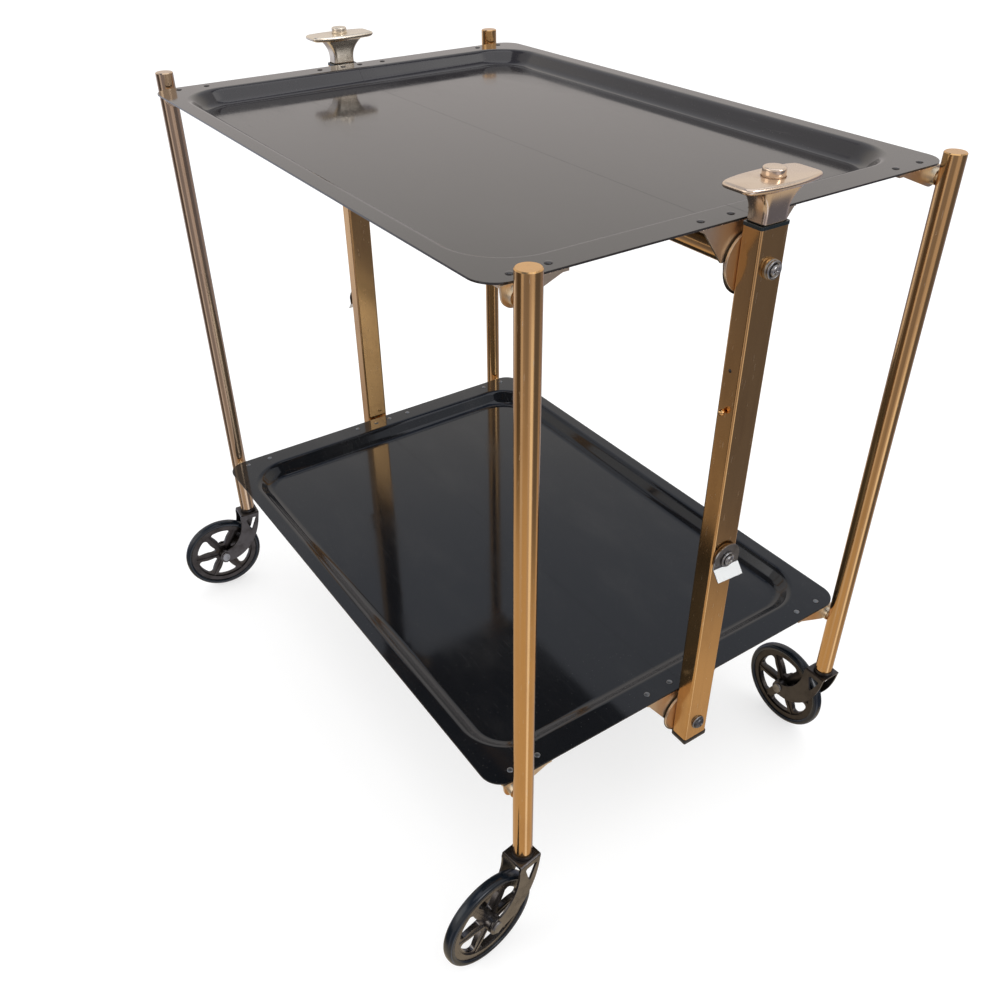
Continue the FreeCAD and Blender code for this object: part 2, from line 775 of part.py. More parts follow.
def wheel_window(index):
    """One rounded opening between two spokes, which are widest a little way out from the hub."""
    step = 360 / spoke_count
    outer = wheel_radius - tyre_depth - rim_depth - window_margin
    inner = hub_radius + window_margin / 2

    def at(radius, spoke, side):
        swing = step / 2 - math.degrees(math.asin(spoke / 2 / radius))
        return by_axle(radius, step * (index + 0.5) + side * swing, -fork_gap)

    def spoke_side(side):
        return [at(inner, spoke_root, side), at(spoke_bulge_radius, spoke_bulge, side),
                at(outer, spoke_tip, side)]

    low, high = spoke_side(-1), spoke_side(1)
    crown = by_axle(outer, step * (index + 0.5), -fork_gap)
    window = face_of([
        line(high[0], low[0]), arc(*low), arc(low[2], crown, high[2]), arc(*high[::-1]),
    ]).extrude(vec(0, 2 * fork_gap, 0))
    window = rounded_upright(window, window_outer_corner, wheel_radius, spoke_bulge_radius)
    return rounded_upright(window, window_inner_corner, spoke_bulge_radius, 0)


def spoke_rib(index):
    """The raised line along the middle of two opposite spokes, on both faces."""
    reach = wheel_radius - tyre_depth - rim_depth
    half_y, half_z = web_width / 2 + spoke_rib_height, spoke_rib_width / 2
    rib = block((-reach, -half_y, -half_z), (reach, half_y, half_z))
    rib.rotate(ORIGIN, Y_AXIS, index * 360 / spoke_count)
    rib.translate(vec(caster_trail, 0, wheel_radius))
    return rib


def spoked_wheel():
    """The hub, web and flanged rim, with windows that leave ribbed spokes."""
    seat, bore = wheel_radius - tyre_depth, axle_radius + running_clearance
    half = [(hub_half, 0), (hub_half, hub_radius), (web_width / 2, hub_radius),
            (web_width / 2, seat - rim_depth), (rim_width / 2, seat - rim_depth), (rim_width / 2, seat)]
    wheel = turned_on_axle(half + [(-across, r) for across, r in half[::-1]])
    wheel = wheel.cut([wheel_window(index) for index in range(spoke_count)])
    wheel = wheel.fuse([spoke_rib(index) for index in range(spoke_count // 2)]).removeSplitter()
    return wheel.cut(rod_along(Y_AXIS, vec(caster_trail, -fork_gap, wheel_radius), bore, 2 * fork_gap))


def axle():
    """The axle bolt with a round head at each side of the fork."""
    half = fork_gap / 2 + fork_sheet
    end = half + axle_head_height
    side = [(half, axle_radius), (half, axle_head_radius), (end, axle_head_radius), (end, 0)]
    return turned_on_axle([(-across, r) for across, r in side[::-1]] + side)


def at_caster(shape, corner):
    """A caster piece turned to its swivel direction and moved under its leg."""
    end, side = corner.split("_")
    copy = shape.copy()
    copy.rotate(ORIGIN, Z_AXIS, caster_angles[corner])
    copy.translate(vec(leg_x if end == "near" else -leg_x, -leg_y if side == "left" else leg_y, 0))
    return copy


# ---------------------------------------------------------------- assembly

def tray_nodes():
    half = left_tray_half()
    nodes = {}
    for level, rim in rim_heights.items():
        for side in ("left", "right"):
            nodes[f"tray_{level}_{side}"] = raised(right_of(half, side), rim)
            nodes[f"brackets_{level}_{side}"] = brackets(side, level)
    return nodes


def frame_nodes():
    return {
        "centre_bars": pair(bar()),
        "cross_tubes": cross_tubes(),
        "handles": pair(handle()),
        "bar_gaskets": pair(bar_gasket()),
        "bar_end_caps": pair(bar_end_cap()),
        "hinge_discs": at_each_pivot(hinge_disc),
        "hinge_washers": at_each_pivot(hinge_washer),
        "clasp_pins": pair(clasp_pin()),
    }


def end_nodes():
    """What moves by itself at each end: the clasp, the button, its spring and its release rod."""
    near = {"leg_clasp": leg_clasp(), "push_button": push_button(), "button_spring": button_spring(),
            "release_rod": release_rod()}
    nodes = {}
    for name, shape in near.items():
        nodes[f"{name}_near"] = shape
        nodes[f"{name}_far"] = half_turn(shape)
    return nodes


def corner_nodes():
    at_leg = leg()
    caster = {"caster_fork": caster_fork(), "tyre": tyre(), "wheel": spoked_wheel()}
    nodes = {}
    for corner in caster_angles:
        nodes[f"leg_{corner}"] = at_corner(at_leg, corner)
        for name, shape in caster.items():
            nodes[f"{name}_{corner}"] = at_caster(shape, corner)
    return nodes


def main():
    os.makedirs("parts", exist_ok=True)
    nodes = {**tray_nodes(), **frame_nodes(), **end_nodes(), **corner_nodes()}
    for name, shape in nodes.items():
        if not shape.isValid() or not shape.Solids:
            raise ValueError(f"{name} is not a valid solid")
        shape.exportStep(f"parts/{name}.step")
    print(len(nodes), "nodes,", sum(len(s.Solids) for s in nodes.values()), "solids")


main()
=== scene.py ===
import json
import logging
import math
from dataclasses import dataclass, field
from enum import Enum
from typing import Callable, ClassVar, Iterable, Optional

import bmesh
import bpy
from mathutils import Matrix, Vector

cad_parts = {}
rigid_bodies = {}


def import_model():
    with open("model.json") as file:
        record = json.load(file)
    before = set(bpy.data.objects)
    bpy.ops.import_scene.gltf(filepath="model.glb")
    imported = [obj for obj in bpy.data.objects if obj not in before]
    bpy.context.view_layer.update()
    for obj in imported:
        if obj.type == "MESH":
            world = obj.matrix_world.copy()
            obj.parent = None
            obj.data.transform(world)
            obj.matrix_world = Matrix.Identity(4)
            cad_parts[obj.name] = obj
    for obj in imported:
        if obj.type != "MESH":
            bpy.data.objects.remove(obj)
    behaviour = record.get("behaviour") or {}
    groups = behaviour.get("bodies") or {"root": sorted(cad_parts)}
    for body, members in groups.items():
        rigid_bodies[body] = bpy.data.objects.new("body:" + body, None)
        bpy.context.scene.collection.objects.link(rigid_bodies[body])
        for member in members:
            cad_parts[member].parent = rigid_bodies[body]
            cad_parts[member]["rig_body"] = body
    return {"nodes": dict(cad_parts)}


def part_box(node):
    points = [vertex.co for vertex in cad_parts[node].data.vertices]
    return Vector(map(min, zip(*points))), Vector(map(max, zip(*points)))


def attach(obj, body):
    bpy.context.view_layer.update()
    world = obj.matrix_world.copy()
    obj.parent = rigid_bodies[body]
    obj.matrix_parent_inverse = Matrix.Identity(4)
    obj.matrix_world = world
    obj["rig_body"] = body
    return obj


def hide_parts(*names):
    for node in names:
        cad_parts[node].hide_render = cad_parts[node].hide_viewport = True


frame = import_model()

# A folding two-tray trolley on four swivel casters, in metres, in the frame's own axes:
# X runs along the trays with the near handle at +X, left is -Y, Z is up from the floor.

LOG = logging.getLogger("trolley")
UP = Vector((0.0, 0.0, 1.0))
ALONG = Vector((1.0, 0.0, 0.0))
ACROSS = Vector((0.0, 1.0, 0.0))

ENDS = (1.0, -1.0)
MARGIN = 0.0001
JOIN_DISTANCE = 2e-6
FLAT_ANGLE = math.radians(0.6)
FLAT_WEIGHT = 80
ON_AXIS = 1e-7

Colour = tuple[float, float, float]
Span = tuple[float, float]
Profile = list[tuple[float, float]]
Row = list[tuple[Vector, Vector]]
Finish = bpy.types.Material
Piece = bpy.types.Object


class Level(Enum):
    """The two trays."""

    UPPER = "upper"
    LOWER = "lower"


class Side(Enum):
    """The two halves that fold down beside each other."""

    LEFT = "left"
    RIGHT = "right"


class End(Enum):
    """The two ends of the trolley, each with its bar and its handle."""

    NEAR = "near"
    FAR = "far"


# ---------------------------------------------------------------- shader values

class Signal:
    """A shader value that is worked with by ordinary arithmetic signs."""

    def __init__(self, bench: "Board", socket: bpy.types.NodeSocket) -> None:
        """Keeps the socket and the board that made it.

        Args:
            bench: the node tree's maker.
            socket: the output socket that carries the value.
        """
        self.bench = bench
        self.socket = socket

    def __add__(self, other: "Signal | float") -> "Signal":
        """The sum of two values."""
        return self.bench.maths("ADD", self, other)

    def __mul__(self, other: "Signal | float") -> "Signal":
        """The product of two values."""
        return self.bench.maths("MULTIPLY", self, other)

    def __radd__(self, other: float) -> "Signal":
        """The sum of a number and a value."""
        return self.bench.maths("ADD", other, self)

    def __rmul__(self, other: float) -> "Signal":
        """The product of a number and a value."""
        return self.bench.maths("MULTIPLY", other, self)

    def between(self, low: float, high: float) -> "Signal":
        """The value as a share of a range, eased and kept from 0 to 1.

        Args:
            low: the value that gives 0.
            high: the value that gives 1.

        Returns:
            The eased share.
        """
        node = self.bench.node("ShaderNodeMapRange", {"interpolation_type": "SMOOTHSTEP"},
                               {"Value": self, "From Min": low, "From Max": high})
        return self.bench.out(node)


class Board:
    """A node tree whose nodes are all made in one way."""

    def __init__(self, tree: bpy.types.NodeTree) -> None:
        """Keeps the tree."""
        self.tree = tree

    def node(self, kind: str, settings: dict, sockets: dict) -> bpy.types.Node:
        """Makes one node: its settings first, and then its sockets.

        Args:
            kind: the node's type.
            settings: the node's own properties.
            sockets: values or signals, by the socket's name or place in the list.

        Returns:
            The new node.
        """
        made = self.tree.nodes.new(kind)
        for name, value in settings.items():
            setattr(made, name, value)
        for key, value in sockets.items():
            named = [s for s in made.inputs if s.enabled and s.name == key]
            socket = made.inputs[key] if isinstance(key, int) else named[0]
            if isinstance(value, Signal):
                self.tree.links.new(value.socket, socket)
            else:
                socket.default_value = value
        return made

    def out(self, node: bpy.types.Node, place: "int | str" = 0) -> Signal:
        """One output of a node as a signal."""
        return Signal(self, node.outputs[place])


class Bench(Board):
    """The node tree of one finish, or of the room."""

    def __init__(self, name: str, room: Optional[bpy.types.World] = None) -> None:
        """Starts an empty tree.

        Args:
            name: the finish's name.
            room: the world whose tree it is, or None for a new material's.
        """
        self.owner = room if room else bpy.data.materials.new(name)
        self.owner.use_nodes = True
        super().__init__(self.owner.node_tree)
        self.tree.nodes.clear()

    def maths(self, operation: str, first: "Signal | float", second: "Signal | float" = 0.0) -> Signal:
        """One step of arithmetic.

        Args:
            operation: the name of the step.
            first: the first value.
            second: the second value.

        Returns:
            The result.
        """
        return self.out(self.node("ShaderNodeMath", {"operation": operation}, {0: first, 1: second}))

    def place(self, stretch: Colour = (1.0, 1.0, 1.0), turn: Colour = (0.0, 0.0, 0.0)) -> Signal:
        """The object's own coordinates, stretched and turned.

        Args:
            stretch: how much finer the pattern is along each axis.
            turn: how the pattern is turned, in radians.

        Returns:
            The coordinates.
        """
        own = self.node("ShaderNodeTexCoord", {}, {})
        sockets = {"Vector": self.out(own, "Object"), "Rotation": turn, "Scale": stretch}
        return self.out(self.node("ShaderNodeMapping", {}, sockets))

    def cloud(self, where: Signal, scale: float, detail: float = 3.0, roughness: float = 0.5) -> Signal:
        """A soft cloudy pattern from 0 to 1.

        Args:
            where: the coordinates.
            scale: how many clouds to a metre.
            detail: how many finer layers it has.
            roughness: how strong the finer layers are.

        Returns:
            The pattern.
        """
        sockets = {"Vector": where, "Scale": scale, "Detail": detail, "Roughness": roughness}
        return self.out(self.node("ShaderNodeTexNoise", {}, sockets))

    def specks(self, where: Signal, scale: float, size: float) -> Signal:
        """Small separate dots.

        Args:
            where: the coordinates.
            scale: how many dots to a metre.
            size: a dot's radius as a share of their distance.

        Returns:
            1 in the dots and 0 between them.
        """
        cells = self.node("ShaderNodeTexVoronoi", {"feature": "F1"}, {"Vector": where, "Scale": scale})
        return self.out(cells).between(size, size * 0.4)

    def blend(self, share: Signal, first: "Colour | Signal", second: "Colour | Signal") -> Signal:
        """A colour between two colours.

        Args:
            share: 0 for the first and 1 for the second.
            first: the first colour.
            second: the second colour.

        Returns:
            The mixed colour.
        """
        colours = [c if isinstance(c, Signal) else (*c, 1.0) for c in (first, second)]
        mixed = self.node("ShaderNodeMix", {"data_type": "RGBA"},
                          {"Factor": share, "A": colours[0], "B": colours[1]})
        return Signal(self, next(s for s in mixed.outputs if s.enabled))

    def relief(self, height: Signal, depth: float, strength: float = 1.0) -> Signal:
        """A bumpy surface direction.

        Args:
            height: the relief from 0 to 1.
            depth: its real depth in metres.
            strength: how much of it shows.

        Returns:
            The direction for a shader's Normal socket.
        """
        return self.out(self.node("ShaderNodeBump", {},
                                  {"Strength": strength, "Distance": depth, "Height": height}))

    def surface(self, **sockets: "Signal | float | Colour") -> Finish:
        """Ends the tree with its shader.

        Args:
            sockets: the shader's values, with words joined by underscores.

        Returns:
            The finished material.
        """
        plain = {key.replace("_", " "): (*v, 1.0) if isinstance(v, tuple) else v
                 for key, v in sockets.items()}
        shader = self.node("ShaderNodeBsdfPrincipled", {}, plain)
        end = self.node("ShaderNodeOutputMaterial", {}, {})
        self.tree.links.new(shader.outputs[0], end.inputs["Surface"])
        return self.owner


# ---------------------------------------------------------------- finishes

@dataclass(frozen=True)
class GiltMetal:
    """Polished brass-gilt metal: drawing lines, soft tarnish, small spots and fine scratches."""

    name: str
    bright: Colour = (0.72, 0.42, 0.17)
    tarnish: Colour = (0.36, 0.19, 0.08)
    scratched: Colour = (0.88, 0.72, 0.52)
    tarnish_amount: float = 0.3
    shine: float = 0.10
    grain: Colour = (220.0, 220.0, 2.0)
    grain_amount: float = 0.12
    patch_stretch: Colour = (1.0, 1.0, 0.4)
    patches_a_metre: float = 26.0
    patch_range: Span = (0.46, 0.78)
    line_range: Span = (0.5, 0.8)
    scratch_grain: Colour = (700.0, 700.0, 90.0)
    scratch_turn: Colour = (0.5, 0.3, 0.2)
    scratch_range: Span = (0.69, 0.76)
    spots_a_metre: float = 300.0
    spot_size: float = 0.10
    depth: float = 0.00003

    def make(self) -> Finish:
        """Builds the material.

        Returns:
            The material.
        """
        bench = Bench(self.name)
        lines = bench.cloud(bench.place(self.grain), 1.0, 2.0)
        patches = bench.cloud(bench.place(self.patch_stretch), self.patches_a_metre, 5.0, 0.62)
        scratches = bench.cloud(bench.place(self.scratch_grain, self.scratch_turn), 1.0, 1.0)
        spots = bench.specks(bench.place(), self.spots_a_metre, self.spot_size)
        worn = patches.between(*self.patch_range) + lines.between(*self.line_range) * 0.25
        colour = bench.blend(worn * self.tarnish_amount + spots * 0.35, self.bright, self.tarnish)
        scratch = scratches.between(*self.scratch_range)
        colour = bench.blend(scratch * 0.3, colour, self.scratched)
        rough = patches * 0.10 + scratch * 0.12 + spots * 0.1 + self.shine
        relief = lines * 0.5 + scratch * 0.3
        return bench.surface(Base_Color=colour, Metallic=1.0, Roughness=rough,
                             Normal=bench.relief(relief, self.depth, self.grain_amount))


@dataclass(frozen=True)
class StovedSheet:
    """Dark glossy stoved enamel on pressed sheet, with faint ripple, smears and dust."""

    name: str
    colour: Colour = (0.012, 0.012, 0.014)
    dust: Colour = (0.10, 0.095, 0.09)
    dust_amount: float = 0.10
    shine: float = 0.08
    gloss: float = 1.5
    coat: float = 0.2
    coat_roughness: float = 0.06
    smear_stretch: Colour = (1.0, 2.2, 1.0)
    smear_turn: Colour = (0.0, 0.0, 0.4)
    smears_a_metre: float = 7.0
    smear_range: Span = (0.45, 0.8)
    dull_range: Span = (0.35, 0.8)
    ripples_a_metre: float = 160.0
    scratch_grain: Colour = (35.0, 1100.0, 35.0)
    scratch_turn: Colour = (0.0, 0.0, 0.5)
    scratch_range: Span = (0.68, 0.76)
    dots_a_metre: float = 210.0
    dot_size: float = 0.11
    depth: float = 0.00003

    def make(self) -> Finish:
        """Builds the material.

        Returns:
            The material.
        """
        bench = Bench(self.name)
        smears = bench.cloud(bench.place(self.smear_stretch, self.smear_turn), self.smears_a_metre, 5.0, 0.6)
        ripple = bench.cloud(bench.place(), self.ripples_a_metre, 2.0)
        scratches = bench.cloud(bench.place(self.scratch_grain, self.scratch_turn), 1.0, 1.0)
        dots = bench.specks(bench.place(), self.dots_a_metre, self.dot_size)
        scratch = scratches.between(*self.scratch_range)
        dirt = smears.between(*self.smear_range) * self.dust_amount + dots * 0.45 + scratch * 0.08
        rough = smears.between(*self.dull_range) * 0.10 + scratch * 0.12 + self.shine
        return bench.surface(Base_Color=bench.blend(dirt, self.colour, self.dust), Metallic=0.0,
                             Roughness=rough, IOR=self.gloss, Coat_Weight=self.coat,
                             Coat_Roughness=self.coat_roughness,
                             Normal=bench.relief(ripple, self.depth, 0.25))


@dataclass(frozen=True)
class Rubber:
    """Smooth dark rubber or moulded plastic with a fine matt grain and a little grey dust."""

    name: str
    colour: Colour
    dust: Colour = (0.07, 0.07, 0.07)
    dust_amount: float = 0.10
    shine: float = 0.25
    gloss: float = 1.48
    patches_a_metre: float = 60.0
    patch_range: Span = (0.5, 0.8)
    grains_a_metre: float = 1500.0
    dots_a_metre: float = 230.0
    dot_size: float = 0.10
    depth: float = 0.00004

    def make(self) -> Finish:
        """Builds the material.

        Returns:
            The material.
        """
        bench = Bench(self.name)
        patches = bench.cloud(bench.place(), self.patches_a_metre, 5.0, 0.6)
        grain = bench.cloud(bench.place(), self.grains_a_metre, 2.0)
        dots = bench.specks(bench.place(), self.dots_a_metre, self.dot_size)
        dirt = patches.between(*self.patch_range) * self.dust_amount + dots * 0.4
        return bench.surface(Base_Color=bench.blend(dirt, self.colour, self.dust), Metallic=0.0,
                             Roughness=patches * 0.18 + self.shine, IOR=self.gloss,
                             Normal=bench.relief(grain, self.depth, 0.4))


@dataclass(frozen=True)
class GreyMetal:
    """Bare steel or cast alloy: brown or grey, with polish, stains and tiny pits."""

    name: str
    colour: Colour
    stain: Colour
    stain_amount: float = 0.5
    shine: float = 0.2
    patches_a_metre: float = 75.0
    patch_range: Span = (0.4, 0.75)
    grains_a_metre: float = 900.0
    pits_a_metre: float = 600.0
    pit_size: float = 0.12
    depth: float = 0.00003

    def make(self) -> Finish:
        """Builds the material.

        Returns:
            The material.
        """
        bench = Bench(self.name)
        patches = bench.cloud(bench.place(), self.patches_a_metre, 6.0, 0.65)
        fine = bench.cloud(bench.place(), self.grains_a_metre, 2.0)
        pits = bench.specks(bench.place(), self.pits_a_metre, self.pit_size)
        dirt = patches.between(*self.patch_range) * self.stain_amount + pits * 0.3
        rough = patches * 0.2 + fine * 0.06 + self.shine
        return bench.surface(Base_Color=bench.blend(dirt, self.colour, self.stain), Metallic=1.0,
                             Roughness=rough, Normal=bench.relief(fine + pits * 0.5, self.depth, 0.4))


class Finishes:
    """Every finish of the trolley, made once."""

    def __init__(self) -> None:
        """Makes the materials."""
        self.tube = GiltMetal("gilt_tube").make()
        self.bar = GiltMetal("gilt_bar", tarnish_amount=0.4, shine=0.12).make()
        self.bracket = GiltMetal("gilt_bracket", bright=(0.84, 0.68, 0.50), tarnish=(0.46, 0.31, 0.19),
                                 tarnish_amount=0.4, shine=0.3, grain=(50.0, 50.0, 50.0)).make()
        self.handle = GiltMetal("nickel_brass", bright=(0.74, 0.60, 0.47), tarnish=(0.44, 0.27, 0.16),
                                tarnish_amount=0.7, shine=0.16, grain=(40.0, 40.0, 40.0)).make()
        self.upper_tray = StovedSheet("warm_enamel", (0.020, 0.017, 0.016)).make()
        self.lower_tray = StovedSheet("blue_black_enamel", (0.006, 0.007, 0.009), gloss=1.46,
                                      coat=0.0, shine=0.06).make()
        self.rivet = GreyMetal("rivet_metal", (0.24, 0.25, 0.26), (0.05, 0.05, 0.05)).make()
        self.gasket = Rubber("gasket_rubber", (0.006, 0.011, 0.013), shine=0.18).make()
        self.plastic = Rubber("black_plastic", (0.010, 0.007, 0.006)).make()
        # The tyre's near-black base colour is tinted blue: a painted sheen.
        self.tyre = Rubber("tyre_rubber", (0.003, 0.006, 0.010), shine=0.12).make()
        # The near-left caster's wheel and fork take the greyer, brighter metals; the darker copies of the
        # same metals, used on the other three casters, are painted shade.
        self.wheel = GreyMetal("wheel_metal", (0.20, 0.185, 0.175), (0.05, 0.045, 0.04), 0.6, 0.13).make()
        self.fork = GreyMetal("gunmetal", (0.20, 0.185, 0.175), (0.05, 0.042, 0.038), 0.6, 0.12).make()
        self.shaded_wheel = GreyMetal("grimy_wheel_metal", (0.075, 0.066, 0.06), (0.02, 0.017, 0.015)).make()
        self.shaded_fork = GreyMetal("grimy_gunmetal", (0.10, 0.09, 0.085), (0.025, 0.02, 0.018)).make()
        self.steel = GreyMetal("screw_steel", (0.30, 0.29, 0.28), (0.07, 0.06, 0.05), 0.6, 0.16).make()
        self.collar = GiltMetal("collar_brass", bright=(0.30, 0.27, 0.23), tarnish=(0.16, 0.135, 0.11),
                                tarnish_amount=0.5, shine=0.3, grain=(60.0, 60.0, 60.0)).make()
        # A paler, less golden copy of the tube finish for the far-left leg: a painted highlight for the
        # bright reflections along that leg.
        self.pale_highlight_tube = GiltMetal("worn_gilt_tube", bright=(0.67, 0.48, 0.31),
                                   tarnish=(0.36, 0.25, 0.16)).make()
        self.pin = GiltMetal("pin_brass", bright=(0.78, 0.66, 0.48), tarnish=(0.45, 0.34, 0.22),
                             tarnish_amount=0.4, shine=0.36, grain=(60.0, 60.0, 60.0)).make()
        # A paler copy of the handle finish, for the far handle.
        self.pale_far_handle = GiltMetal("worn_nickel", bright=(0.80, 0.71, 0.58), tarnish=(0.55, 0.44, 0.33),
                                     tarnish_amount=0.5, shine=0.22, grain=(40.0, 40.0, 40.0)).make()
        self.dark_steel = GreyMetal("dark_screw_steel", (0.12, 0.12, 0.125), (0.03, 0.03, 0.03)).make()
        self.pale_steel = GreyMetal("polished_steel", (0.88, 0.92, 0.93), (0.7, 0.7, 0.7), 0.12, 0.2).make()


# ---------------------------------------------------------------- shapes

def linked(name: str, data: Optional[bpy.types.ID]) -> Piece:
    """Puts new data into the scene as an object at the origin.

    Args:
        name: the object's name.
        data: its mesh, light or camera.

    Returns:
        The new object.
    """
    piece = bpy.data.objects.new(name, data)
    bpy.context.scene.collection.objects.link(piece)
    return piece


def smooth_piece(name: str, mesh: bpy.types.Mesh) -> Piece:
    """A mesh as a piece that is shaded smooth."""
    mesh.polygons.foreach_set("use_smooth", [True] * len(mesh.polygons))
    return linked(name, mesh)


def worked_piece(name: str, shape: bmesh.types.BMesh) -> Piece:
    """Turns a worked mesh into a smooth piece.

    Args:
        name: the piece's name.
        shape: the mesh, which is freed.

    Returns:
        The new piece.
    """
    mesh = bpy.data.meshes.new(name)
    shape.to_mesh(mesh)
    shape.free()
    return smooth_piece(name, mesh)


def mesh_piece(name: str, shape: bmesh.types.BMesh) -> Piece:
    """Turns a worked mesh into a smooth piece, with its faces outwards."""
    bmesh.ops.recalc_face_normals(shape, faces=shape.faces)
    return worked_piece(name, shape)


def soften(piece: Piece, width: float, corner: float = 35.0, steps: int = 2) -> Piece:
    """Rounds a piece's sharp edges a little and keeps its flat faces flat in the light.

    Args:
        piece: the piece.
        width: how wide the rounding is.
        corner: the least angle, in degrees, that counts as an edge.
        steps: how many faces the rounding has.

    Returns:
        The same piece.
    """
    bevel = piece.modifiers.new("round_edges", "BEVEL")
    bevel.width = width
    bevel.segments = steps
    bevel.limit_method = "ANGLE"
    bevel.angle_limit = math.radians(corner)
    bevel.use_clamp_overlap = True
    flat = piece.modifiers.new("flat_faces", "WEIGHTED_NORMAL")
    flat.keep_sharp = False
    flat.weight = FLAT_WEIGHT
    return piece


def copy_of(node: str, name: str) -> Piece:
    """A joined-up copy of a CAD node's mesh, with its flat faces in one piece.

    Args:
        node: the CAD node.
        name: the new piece's name.

    Returns:
        The new object.
    """
    shape = bmesh.new()
    shape.from_mesh(frame["nodes"][node].data)
    bmesh.ops.remove_doubles(shape, verts=shape.verts, dist=JOIN_DISTANCE)
    bmesh.ops.dissolve_limit(shape, angle_limit=FLAT_ANGLE, verts=shape.verts, edges=shape.edges)
    return worked_piece(name, shape)


def warp(piece: Piece, move: Callable[[Vector], Vector]) -> Piece:
    """Moves every point of a piece's mesh.

    Args:
        piece: the piece.
        move: gives a point's new place.

    Returns:
        The same piece.
    """
    for vert in piece.data.vertices:
        vert.co = move(vert.co.copy())
    piece.data.update()
    return piece


def loft(shape: bmesh.types.BMesh, rings: list[list[Vector]]) -> None:
    """Adds a closed skin through rings of equally many points, with flat ends.

    Args:
        shape: the mesh.
        rings: the rings, from one end of the skin to the other.
    """
    rows = [[shape.verts.new(p) for p in ring] for ring in rings]
    for low, high in zip(rows, rows[1:]):
        for step in range(len(low)):
            after = (step + 1) % len(low)
            shape.faces.new((low[step], low[after], high[after], high[step]))
    shape.faces.new(rows[0][::-1])
    shape.faces.new(rows[-1])


def round_ring(centre: Vector, z: float, reach: Callable[[float], float], points: int) -> list[Vector]:
    """A level ring of points round a middle.

    Args:
        centre: the middle.
        z: the ring's height.
        reach: its distance from the middle by direction.
        points: how many points it has.

    Returns:
        Its points.
    """
    angles = [2 * math.pi * step / points for step in range(points)]
    return [Vector((centre.x + reach(a) * math.cos(a), centre.y + reach(a) * math.sin(a), z)) for a in angles]


def squared(angle: float, half_x: float, half_y: float, power: float) -> float:
    """How far a rounded rectangle is from its middle in one direction.

    Args:
        angle: the direction, from the X axis.
        half_x: half its depth.
        half_y: half its width.
        power: how square its corners are.

    Returns:
        The distance.
    """
    side, end = abs(math.cos(angle) / half_x), abs(math.sin(angle) / half_y)
    return (side ** power + end ** power) ** (-1 / power)


def lathe(name: str, profile: Profile, centre: Vector, axis: Vector, steps: int = 48) -> Piece:
    """A turned piece.

    Args:
        name: the piece's name.
        profile: pairs of place along the axis and radius, from one end to the other.
        centre: where the axis starts.
        axis: the axis' direction.
        steps: how many faces go round.

    Returns:
        The new object.
    """
    shape = bmesh.new()
    lathe_into(shape, profile, centre, axis, steps)
    return mesh_piece(name, shape)


def lathe_into(shape: bmesh.types.BMesh, profile: Profile, centre: Vector, axis: Vector,
               steps: int = 48) -> None:
    """Adds a turned, closed form to a mesh.

    Args:
        shape: the mesh.
        profile: pairs of place along the axis and radius. A profile whose first and last points
            are the same closes on itself as a ring.
        centre: where the axis starts.
        axis: the axis' direction.
        steps: how many faces go round.
    """
    turn = axis.to_track_quat("Z", "Y").to_matrix()
    is_ring = profile[0] == profile[-1]
    rings = []
    for along, radius in profile[:-1] if is_ring else profile:
        if radius < ON_AXIS:
            rings.append([shape.verts.new(centre + turn @ (UP * along))] * steps)
            continue
        angles = [2 * math.pi * step / steps for step in range(steps)]
        places = [Vector((radius * math.cos(a), radius * math.sin(a), along)) for a in angles]
        rings.append([shape.verts.new(centre + turn @ p) for p in places])
    for low, high in zip(rings, rings[1:] + rings[:1] if is_ring else rings[1:]):
        for step in range(steps):
            after = (step + 1) % steps
            corners = list(dict.fromkeys((low[step], low[after], high[after], high[step])))
            if len(corners) > 2:
                shape.faces.new(corners)
    for ring in () if is_ring else (rings[0], rings[-1]):
        if ring[0] is not ring[1]:
            shape.faces.new(ring)


def dress(piece: Piece, finishes: "list[Finish] | Finish", body: str,
          stands_for: Iterable[str] = ()) -> Piece:
    """Gives a piece its finish, its body and the nodes that it stands for.

    Args:
        piece: the piece.
        finishes: its material or materials.
        body: the body that it moves with.
        stands_for: the CAD nodes that it replaces.

    Returns:
        The same piece.
    """
    for finish in finishes if isinstance(finishes, list) else [finishes]:
        if finish.name not in piece.data.materials:
            piece.data.materials.append(finish)
    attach(piece, body)
    nodes = list(stands_for)
    if nodes:
        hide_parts(*nodes)
    LOG.info("%s rides on %s", piece.name, body)
    return piece


def body_of(node: str) -> str:
    """The body that a CAD node belongs to."""
    return frame["nodes"][node]["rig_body"]


def middle(node: str) -> Vector:
    """The middle of a CAD node's box."""
    low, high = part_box(node)
    return (low + high) / 2


def paint_faces(piece: Piece, which: Callable[[Vector], bool], place: int) -> None:
    """Gives some faces another of the piece's finishes.

    Args:
        piece: the piece.
        which: says from a face's middle whether it counts.
        place: the finish's place in the list.
    """
    for face in piece.data.polygons:
        if which(face.center):
            face.material_index = place


# ---------------------------------------------------------------- trays

